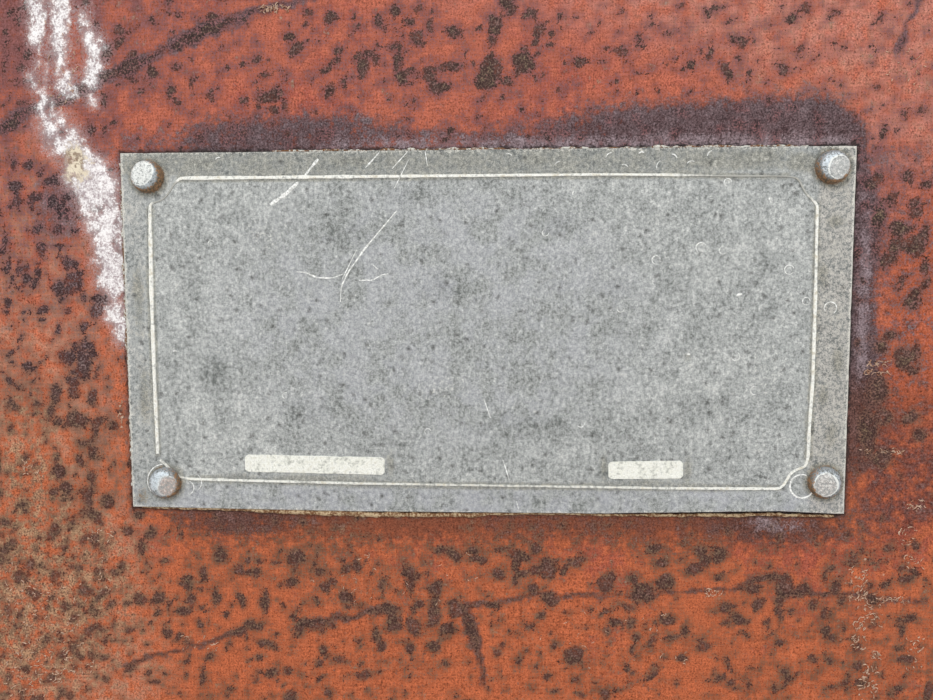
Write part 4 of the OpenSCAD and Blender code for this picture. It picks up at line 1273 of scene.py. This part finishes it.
# Scratches, ring marks and crumbs: thin bright ridges of scraped or splashed metal on the plate
markLook = {
    "bright": (244, 245, 243),
    "dull": (196, 197, 194),
    "scratchHeight": 0.05,
    "ringHeight": 0.06,
    "crumbBow": 0.35,
    # Runs of points across and up, with the widest half width of each scratch
    "scratches": [
        (0.48, [(-35.7, 38.3), (-37.2, 36.6), (-38.8, 34.6)]),
        (0.55, [(-40.2, 33.3), (-43, 30.8), (-46.5, 28.5)]),
        (0.24, [(-22.3, 39.5), (-25.3, 36.3)]),
        (0.14, [(-16, 39.7), (-19.5, 36)]),
        (0.14, [(-15.8, 38), (-19, 31.8)]),
        (0.12, [(-12.2, 39.8), (-11.7, 36.5)]),
        (0.24, [(-18.5, 27), (-25.7, 18.7), (-29.5, 13.5), (-31, 10.5), (-31.3, 7)]),
        (0.16, [(-27.5, 18.5), (-30.8, 12)]),
        (0.22, [(-41, 13.7), (-39, 13.6), (-36.5, 12.4), (-33, 12.3), (-30.5, 13.2)]),
        (0.18, [(-27, 11.8), (-24, 11.8), (-22, 13), (-20.5, 13.2)]),
        (0.14, [(0.5, -14.5), (2, -18.8)]),
        (0.14, [(4.8, -28.3), (6.2, -32.8)]),
        (0.14, [(7.8, -37.6), (8.3, -39.5)]),
        (0.14, [(-24, 15.3), (-22.8, 14.2)]),
    ],
    # Across, up, radius, half width, and how many degrees of the ring are left, from where
    "rings": [
        (66.5, 13.8, 1.0, 0.14, 300, 20), (52.3, 18, 0.8, 0.13, 240, 90), (55.5, -5, 0.9, 0.12, 220, 200),
        (53, 32.5, 0.8, 0.12, 260, 0), (70.3, 7, 0.8, 0.13, 330, 0), (30.5, 5.5, 0.8, 0.12, 200, 150),
        (59.8, -12.5, 0.9, 0.12, 230, 60), (38, 16, 0.9, 0.12, 250, 10), (75.5, 5.5, 1.3, 0.16, 270, 300),
        (70.6, -33.7, 2.6, 0.28, 330, 70), (-67.2, -35.2, 1.6, 0.12, 150, 280),
        (-72.3, -33.8, 4.0, 0.2, 120, 95), (-66, -33.9, 2.2, 0.12, 110, 300),
        (47.6, 18.6, 1.1, 0.15, 200, 30), (-60, 20, 0.7, 0.1, 200, 30), (14, 22, 0.7, 0.1, 240, 120),
        (-12, -22, 0.7, 0.1, 220, 10), (22, -20, 0.8, 0.1, 180, 200), (-44, -14, 0.7, 0.1, 200, 60),
    ],
    # Across, up, half length, half width, lean in degrees, height
    "crumbs": [
        (56, 8.3, 0.6, 0.35, 20, 0.12), (27.5, 38.5, 0.8, 0.16, 40, 0.1), (31, 36.2, 0.7, 0.16, -20, 0.1),
        (34.5, 38.9, 0.6, 0.2, 10, 0.12), (38.2, 36.4, 0.9, 0.15, 65, 0.1),
        (41.5, 38.2, 0.7, 0.18, -35, 0.12), (45, 36.8, 0.8, 0.16, 15, 0.1), (49, 38.7, 0.7, 0.18, 50, 0.1),
        (45.3, -4.6, 0.35, 0.25, 0, 0.1), (-58, 38.6, 0.6, 0.16, 20, 0.1), (6, 38.8, 0.7, 0.15, -15, 0.1),
        (16.5, 36.9, 0.6, 0.15, 30, 0.1), (62, 29, 0.4, 0.2, 60, 0.08), (-69, -4, 0.4, 0.18, 0, 0.08),
        (20, 30.5, 0.4, 0.2, 80, 0.08),
    ],
}


def markMaterial(look):
    s = Shader("scrapedMetal", look, speck=(0.5, 3, 3, 0.6))
    speck = s.noises["speck"]
    s.coat = s.mix(s.fade(speck, 0.42, 0.58), "dull", "bright")
    return s.finish(s.clamp(0.4 + speck * 0.3), speck, 0.05, 0.0, 0.4)


def makeMarks(look):
    scratches, rings, crumbs = [], [], []
    for widest, corners in look["scratches"]:
        path = smoothPath(corners, 0.3)
        halves = tapered(len(path), widest) * (1 + 0.8 * rough(path[:, 0], path[:, 1], 1.2, 79))
        scratches.append(ridge(path, halves, look["scratchHeight"], plateFace))
    for across, up, radius, half, degrees, start in look["rings"]:
        angles = np.radians(start + np.linspace(0, degrees, 24))
        path = np.stack([across + radius * np.cos(angles), up + radius * np.sin(angles)], 1)
        rings.append(ridge(path, tapered(len(path), half), look["ringHeight"], plateFace))
    for across, up, length, half, lean, height in look["crumbs"]:
        path = bentPath(across, up, length, look["crumbBow"], math.radians(lean), 8)
        crumbs.append(ridge(path, tapered(len(path), half), height, plateFace))
    material = markMaterial(look)
    for name, parts in (("plateScratches", scratches), ("plateRings", rings), ("plateCrumbs", crumbs)):
        makePiece(name, *joined(parts), material, "plate_metal")


makeMarks(markLook)
print("stage: data plate")


# Dirt in the joint round the plate: a tan seam under its lower edge and pale crumbs along the top
seamLook = {
    "tan": (190, 168, 136),
    "brown": (116, 82, 56),
    "chalk": (206, 206, 198),
    # Place along the edge, place across it and radius
    "lower": [
        (-78, -40.1, 0.22), (-60, -40.3, 0.4), (-45, -40.7, 0.62), (-30, -41.1, 0.75), (-15, -41.2, 0.72),
        (-4, -41.1, 0.6), (4, -40.8, 0.38), (14, -40.6, 0.26), (30, -40.8, 0.34), (45, -40.7, 0.4),
        (58, -40.5, 0.42), (66, -40.4, 0.45), (72, -40.5, 0.4), (78, -40.5, 0.28),
    ],
    "upper": [
        (-46, 40.1, 0.2), (-36, 40.2, 0.26), (-28, 40.1, 0.2), (-19, 40.2, 0.3), (-8, 40.2, 0.36),
        (2, 40.1, 0.32), (20, 40.1, 0.26), (40, 40.2, 0.3), (60, 40.1, 0.28), (70, 40.1, 0.22),
    ],
    "left": [(-35, -80.2, 0.2), (-10, -80.2, 0.24), (10, -80.3, 0.34), (38, -80.2, 0.26)],
}


def seamMaterial(name, main, look):
    s = Shader(name, look, speck=(0.55, 4, 3, 0.7), broad=(4, 2, 9))
    speck = s.noises["speck"]
    s.coat = s.mix(s.grains(0.68, 0.84, speck=1, broad=0.5), "brown", main)
    return s.finish(s.clamp(0.7 + speck * 0.2), speck, 0.15, 0.0, 0.15)


def seamBead(stations, lumps, upright=False):
    # A lumpy thread along a run of places: its radius follows the stations and rough noise
    along, across, radii = np.array(stations, float).T
    places = np.arange(along[0], along[-1], 0.22)
    middles = np.interp(places, along, across) + 0.25 * rough(places, 0 * places, 2.6, 95)
    lumpy = np.clip(0.85 + lumps * rough(places, 0 * places, 1.5, 97), 0.12, 1.6)
    radii = np.interp(places, along, radii) * lumpy
    turn = np.linspace(0, 2 * np.pi, 8, endpoint=False)
    sideways = middles[:, None] + radii[:, None] * np.cos(turn)
    depth = sheetLow[1] - 0.35 + radii[:, None] * np.sin(turn) * 0.8
    lengthways = np.broadcast_to(places[:, None], depth.shape)
    flat = [sideways, depth, lengthways] if upright else [lengthways, depth, sideways]
    return tube(np.stack(flat, 2))


def makeSeams(look):
    tan = seamMaterial("seamDirt", "tan", look)
    chalk = seamMaterial("seamChalk", "chalk", look)
    makePiece("seamLower", *seamBead(look["lower"], 0.5), tan, "sheet_paint")
    makePiece("seamUpper", *seamBead(look["upper"], 1.6), chalk, "sheet_paint")
    makePiece("seamLeft", *seamBead(look["left"], 1.6, True), chalk, "sheet_paint")


makeSeams(seamLook)


# Curled flakes of old paint: short thin arcs that stand up from the sheet
curlLook = {
    "pale": (214, 186, 164),
    "dull": (160, 116, 92),
    # Middle of a patch of curls, its half width and half height, how many, and their lean in degrees
    "patches": [
        (-106, -80, 7, 6, 26, 20), (-100, -66, 8, 8, 22, 30), (-88, -47, 3, 1.5, 5, 0),
        (-88, -56, 1.5, 4, 6, 80), (-95, -77, 4, 3, 8, 40), (-110, -60, 3, 8, 12, 70),
        (84, -56, 2, 4, 16, 30), (87, -62, 3, 4, 12, 0), (84.5, -68, 1.5, 3, 8, 60),
        (88.5, -72.5, 0.8, 0.8, 5, 20), (87, -79, 2, 4, 12, 50), (92, -59.5, 3, 0.6, 6, 0),
        (94, -45, 2, 2, 5, 20), (96, -51, 2, 1.5, 4, 10), (97, -72, 2, 4, 6, 0), (96, -38, 2, 1.2, 6, 0),
        (86.5, -6.5, 2.4, 0.5, 6, 5), (86.5, -8.5, 2.6, 0.5, 6, 0), (88, -26, 5, 0.6, 6, 0),
        (52, -58.5, 2, 0.8, 5, 0), (-104, -31, 3, 2, 6, 20), (-45, 70.8, 3.5, 0.7, 12, 30),
        (-20, -56, 20, 6, 8, 10), (30, -70, 20, 8, 8, 30), (-82.3, -18, 0.4, 3.5, 5, 85),
        (90, 56, 4, 4, 5, 45), (-93, 60, 5, 10, 10, 80), (-66, -72, 5, 2, 5, 20),
    ],
}


def curlMaterial(look):
    s = Shader("paintCurl", look, speck=(0.4, 3, 3))
    speck = s.noises["speck"]
    s.coat = s.mix(s.fade(speck, 0.4, 0.6), "dull", "pale")
    return s.finish(0.7, speck, 0.05, 0.0, 0.15)


def curlDepth(x, z):
    return np.full(x.shape, sheetLow[1] - 0.05)


def makeCurls(look):
    rng = np.random.default_rng(101)
    curls = []
    for middleX, middleZ, halfX, halfZ, count, lean in look["patches"]:
        for _ in range(3 * count):
            across, up, length, bow, turn, half = rng.random(6)
            length, bow = 0.25 + 0.5 * length**2, (bow - 0.5) * 1.6
            turn = math.radians(lean + 130 * (turn - 0.5))
            x, z = middleX + (2 * across - 1) * halfX, middleZ + (2 * up - 1) * halfZ
            path = bentPath(x, z, length, bow, turn, 7)
            curls.append(ridge(path, tapered(7, 0.05 + 0.06 * half), 0.15, curlDepth, 0.15))
    makePiece("paintCurls", *joined(curls), curlMaterial(look), "sheet_paint")


makeCurls(curlLook)
print("stage: seams and curls")


# Rivets: a shank through plate and sheet, a snap head behind, and a front head hammered flat
rivetColours = {
    "bright": (236, 238, 234),
    "steel": (176, 184, 190),
    "shadow": (104, 106, 102),
    "face": (186, 190, 190),
    "pink": (186, 158, 146),
    "rust": (146, 102, 52),
    "rustDark": (78, 62, 40),
    # Colour of the painted highlight on the dome's lit upper left
    "sheen": (216, 226, 232),
}

rivetLook = {
    "headRadius": 3.55,
    "headHeight": 2.75,
    "bulge": 2.6,
    "shankRadius": 2.0,
    "tailRadius": 3.5,
    "sunk": 0.03,
    "around": 48,
    # Height of the flat, how fast it rises to the right and upwards, where the rust and its painted warm
    # shade sit in degrees from the right anticlockwise, how much of it there is, how pink and how bright the
    # flat is, and how bright its rim and the painted highlight on the dome's upper left are
    "columns": ("flat", "leanAcross", "leanUp", "rustAt", "rust", "pink", "pale", "rim", "sheen"),
    "ends": {
        "top_left": (2.1, 0.2, -0.2, -45, 1.1, 0.0, 0.9, 0.7, 0.3),
        "top_right": (2.3, -0.2, 0.06, -90, 1.0, 0.2, 0.15, 0.8, 1.0),
        "bottom_left": (2.5, -0.28, 0.1, -35, 0.8, 1.0, 0.1, 0.35, 1.3),
        "bottom_right": (2.2, 0.1, 0.02, -120, 0.9, 0.5, 0.3, 0.8, 0.7),
    },
}


def rivetMaterial(name, colours, settings):
    s = Shader(name, colours, speck=(0.55, 4, 3, 0.68), fine=(0.2, 1, 7))
    speck, fine = s.noises.values()
    s.coat = s.mix(s.grains(0.5, 0.72, speck=1, fine=0.3), "shadow", "steel")
    # The hammer's flat, with dark and bright grains
    pink = s.grains(0.1, 0.2, speck=0.3) * settings["pink"]
    face = s.mix(pink, "face", "pink")
    face = s.mix(s.grains(0.78, 0.5, speck=1, fine=0.4) * 0.6, face, "shadow")
    pale = s.grains(0.76, 0.9, settings["pale"] * 0.2, speck=1, fine=0.4)
    face = s.mix(pale * 0.75, face, "bright")
    s.lay(s.field("flat"), face)
    # A painted highlight on the dome's upper left, the bright rim round the flat, and rust at the foot,
    # which on the lower side is also painted warm shade
    highlightColour = s.mix(s.grains(0.6, 0.85, speck=1, fine=0.5), "steel", "sheen")
    s.lay(s.worn("sheen", 0.3, 0.9, speck=3.0) * 0.85, highlightColour)
    rim = s.worn("rim", 0.4, 0.75, speck=1.8) * settings["rim"]
    s.lay(rim, "bright")
    rust = s.worn("rust", 0.35, 0.75, speck=2.2)
    rustColour = s.mix(s.grains(0.6, 0.8, speck=1, fine=0.4), "rustDark", "rust")
    s.lay(rust * 0.9, rustColour)
    metallic = s.clamp(0.35 - rust * 0.35)
    roughness = s.clamp(0.36 + speck * 0.25 + rust * 0.35)
    return s.finish(roughness, speck + fine * 0.5, 0.12, metallic, 0.5)


def makeRivet(end, look):
    middle, settings = rivetMiddles[end], dict(zip(look["columns"], look["ends"][end]))
    seat = plateFront + look["sunk"]
    # Stations from the tail's tip to the front head's middle, as depth and radius: the tail is half an
    # ellipse, and in the head radius and rise, each to the power of bulge, add up to one
    turn = np.linspace(0.06, 1, 12) * math.pi / 2
    tailTop = rivetBoxes[end][1][1]
    tailDepth = sheetHigh[1] + (tailTop - sheetHigh[1]) * np.cos(turn)
    tail = np.stack([tailDepth, look["tailRadius"] * np.sin(turn)], 1)
    radius = look["headRadius"] * np.cos(np.linspace(0, 0.97, 22) * math.pi / 2)
    rise = (1 - (radius / look["headRadius"]) ** look["bulge"]) ** (1 / look["bulge"])
    head = np.stack([seat - look["headHeight"] * rise, radius], 1)
    shank = np.array([[sheetHigh[1], look["shankRadius"]], [seat, look["shankRadius"]]])
    profile = np.concatenate([tail, shank, head])
    angles = np.linspace(0, 2 * np.pi, look["around"], endpoint=False)
    offX = profile[:, 1:] * np.cos(angles)
    offZ = profile[:, 1:] * np.sin(angles)
    depth = np.broadcast_to(profile[:, :1], offX.shape).copy()
    # The hammer's flat: a leaning plane that cuts the head off, with small dents in it
    inHead = (np.arange(len(profile)) >= len(profile) - len(head))[:, None]
    dents = 0.22 * rough(offX + middle[0], offZ + middle[2], 1.6, 83)
    slope = settings["leanAcross"] * offX + settings["leanUp"] * offZ
    limit = plateFront - (settings["flat"] + slope) - dents * 0.6
    cut = depth - limit
    blend = 0.25
    depth = np.where(inHead, limit + (cut + np.sqrt(cut**2 + blend**2)) / 2, depth)
    depth = np.where(inHead, np.minimum(depth, seat), depth)
    swell = 1 + inHead * 0.05 * rough(np.cos(angles) * 3 + middle[0], np.sin(angles) * 3, 2.2, 87)[None, :]
    points = np.stack([middle[0] + offX * swell, depth, middle[2] + offZ * swell], 2)
    # Masks: the flat, its bright rim, rust at the foot that is heavier on the lower side as painted warm
    # shade, and a painted highlight on the dome's upper left
    flat = inHead * fade(cut, 0.15, -0.3)
    rim = inHead * fade(np.abs(cut + 0.02), 0.16, 0.03)
    # Rust at the foot, heavier towards one lower side: real rust that also stands in for painted warm shade
    # there
    away = 0.5 + 0.5 * np.cos(angles - math.radians(settings["rustAt"]))[None, :]
    foot = fade(np.hypot(offX, offZ), 2.2, 3.5)
    rust = settings["rust"] * foot * (0.25 + 0.85 * away) + 0.7 * ~inHead
    # Painted highlight: a bright bluish band on the dome's upper left, where the light falls
    litSide = fade(np.cos(angles - math.radians(130)), -0.5, 0.6)[None, :]
    sheen = settings["sheen"] * inHead * (1 - flat) * litSide
    loops = {"flat": flat, "rim": rim, "rust": rust, "sheen": sheen * (1 - foot)}
    fields = {key: np.r_[value.ravel(), value[0].mean(), value[-1].mean()] for key, value in loops.items()}
    material = rivetMaterial("rivetSteel_" + end, rivetColours, settings)
    name = "rivet" + end.title().replace("_", "")
    makePiece(name, *tube(points), material, "rivet_steel", ["rivet_" + end], fields, 40)


for rivetEnd in rivetMiddles:
    makeRivet(rivetEnd, rivetLook)
print("stage: rivets")


# Behind the sheet: weld beads between the angles and the sheet, and in the frame's inner corners
frameColours = {
    "paint": (170, 94, 70),
    "paintDark": (146, 76, 60),
    "film": (112, 74, 68),
    "rust": (106, 78, 62),
    "rustDark": (70, 54, 48),
    "primer": (150, 142, 134),
}

weldLook = {
    "leg": 2.0,
    "ripple": 1.5,
    "stitchHalf": 12.5,
    "stitchAcross": (-75, 0, 75),
    "stitchUp": (-37.5, 37.5),
    "toeAcross": 125.0,
    "toeUp": 95.0,
    "cornerAcross": 147.0,
    "cornerUp": 117.0,
    "cornerDepths": (3.0, 21.0),
}


def frameMaterial(name, colours, weld):
    s = Shader(name, colours, ragged=(1.6, 4, 3, 0.66), patchy=(9, 3, 7, 0.6), grain=(0.45, 2, 13))
    ragged, patchy, grain = s.noises.values()
    (large, largeChance), (small, smallChance) = s.cells(9, 17), s.cells(3.4, 19)
    # Paint in two shades with a dull film, then spots of two sizes, then broad rust and bare patches
    shade = s.grains(0.55, 0.95, patchy=1, ragged=0.5)
    s.coat = s.mix(shade, "paint", "paintDark")
    film = s.grains(1.15, 1.5, patchy=0.6, ragged=0.9, grain=0.8)
    s.lay(film * 0.7, "film")
    reach = largeChance * 0.36 - 0.12 + patchy * 0.1
    spots = s.worn(large - reach, 0.05, -0.05, ragged=0.6, grain=0.25)
    reach = smallChance * 0.34 - 0.1 + (patchy - 0.5) * 0.3
    spots = s.most(spots, s.worn(small - reach, 0.08, -0.06, ragged=0.5, grain=0.4))
    rust = s.grains(1.0, 1.12, weld * 0.26, ragged=1, patchy=0.7)
    rustColour = s.mix(s.grains(0.85, 1.15, grain=1, ragged=1), "rustDark", "rust")
    s.lay(s.most(spots, rust) * 0.9, rustColour)
    bare = s.grains(0.78, 0.86, ragged=0.8, grain=0.4) * (1 - weld)
    s.lay(bare * 0.5, "primer")
    s.shadeBy(grain * 1.3 + 0.35)
    height = s.clamp(spots * 0.3 + rust * 0.4 + grain * 0.4 + ragged * 0.2)
    return s.finish(s.clamp(0.58 + rust * 0.25 + spots * 0.2), height, 0.16, 0.0, 0.2)


def weldBead(start, end, sideA, sideB, look):
    # A fillet in a corner, from start to end, with a leg along each side: its face swells a little,
    # ripples along the run and tapers at both ends
    start, end = np.array(start, float), np.array(end, float)
    length = np.linalg.norm(end - start)
    places = np.linspace(0, 1, int(length / 0.3) + 1)
    wave = places * length / look["ripple"]
    wave = np.abs((wave % 1) - 0.5)
    taper = np.sqrt(np.clip(1 - np.abs(2 * places - 1) ** 8, 0.04, 1))
    size = look["leg"] * taper * (0.94 + 0.16 * wave + 0.1 * rough(places * length, places, 4, 91))
    turn = np.linspace(0, math.pi / 2, 8)
    chord = (1 + 0.28 * np.sin(2 * turn)) / (np.cos(turn) + np.sin(turn))
    offsetA = np.append(chord * np.cos(turn), -0.1)
    offsetB = np.append(chord * np.sin(turn), -0.1)
    section = offsetA[:, None] * np.array(sideA) + offsetB[:, None] * np.array(sideB)
    axis = start + (end - start) * places[:, None]
    return tube(axis[:, None, :] + section[None] * size[:, None, None])


def makeWelds(look):
    back = sheetHigh[1]
    half = look["stitchHalf"]
    beads = []
    for side in (-1, 1):
        toe = side * look["toeUp"]
        for across in look["stitchAcross"]:
            run = (across - half, back, toe), (across + half, back, toe)
            beads.append(weldBead(*run, (0, 1, 0), (0, 0, -side), look))
        toe = side * look["toeAcross"]
        for up in look["stitchUp"]:
            run = (toe, back, up - half), (toe, back, up + half)
            beads.append(weldBead(*run, (0, 1, 0), (-side, 0, 0), look))
        for level in (-1, 1):
            x, z = side * look["cornerAcross"], level * look["cornerUp"]
            corner = [(x, y, z) for y in look["cornerDepths"]]
            beads.append(weldBead(*corner, (-side, 0, 0), (0, 0, -level), look))
    material = frameMaterial("weldSteel", frameColours, 1.0)
    makePiece("weldBeads", *joined(beads), material, "weld_steel", ["frame_welds"])


makeWelds(weldLook)
anglePaint = frameMaterial("anglePaint", frameColours, 0.0)
for side in ("top", "bottom", "left", "right"):
    frame["nodes"]["frame_" + side].material_slots[0].material = anglePaint
print("stage: frame and welds")


# Pale floor under the panel
floorLook = {"size": 3000, "colour": (222, 220, 216), "shade": (210, 208, 204)}


def makeFloor(look):
    s = Shader("floorPaper", look, grain=(6, 3, 3))
    grain = s.noises["grain"]
    s.coat = s.mix(grain * 0.2, "colour", "shade")
    material = s.finish(0.9, grain, 0.1)
    steps = np.linspace(-look["size"] / 2, look["size"] / 2, 9)
    x, y = np.meshgrid(steps, steps)
    points = np.stack([x.ravel(), y.ravel(), np.full(x.size, sheetLow[2])], 1)
    index = np.arange(x.size).reshape(x.shape)
    corners = [index[:-1, :-1], index[:-1, 1:], index[1:, 1:], index[1:, :-1]]
    mesh = bpy.data.meshes.new("floor")
    mesh.from_pydata(points / metre, [], np.stack([corner.ravel() for corner in corners], 1).tolist())
    mesh.materials.append(material)
    floor = bpy.data.objects.new("floor", mesh)
    bpy.context.scene.collection.objects.link(floor)


makeFloor(floorLook)
print("stage: floor")
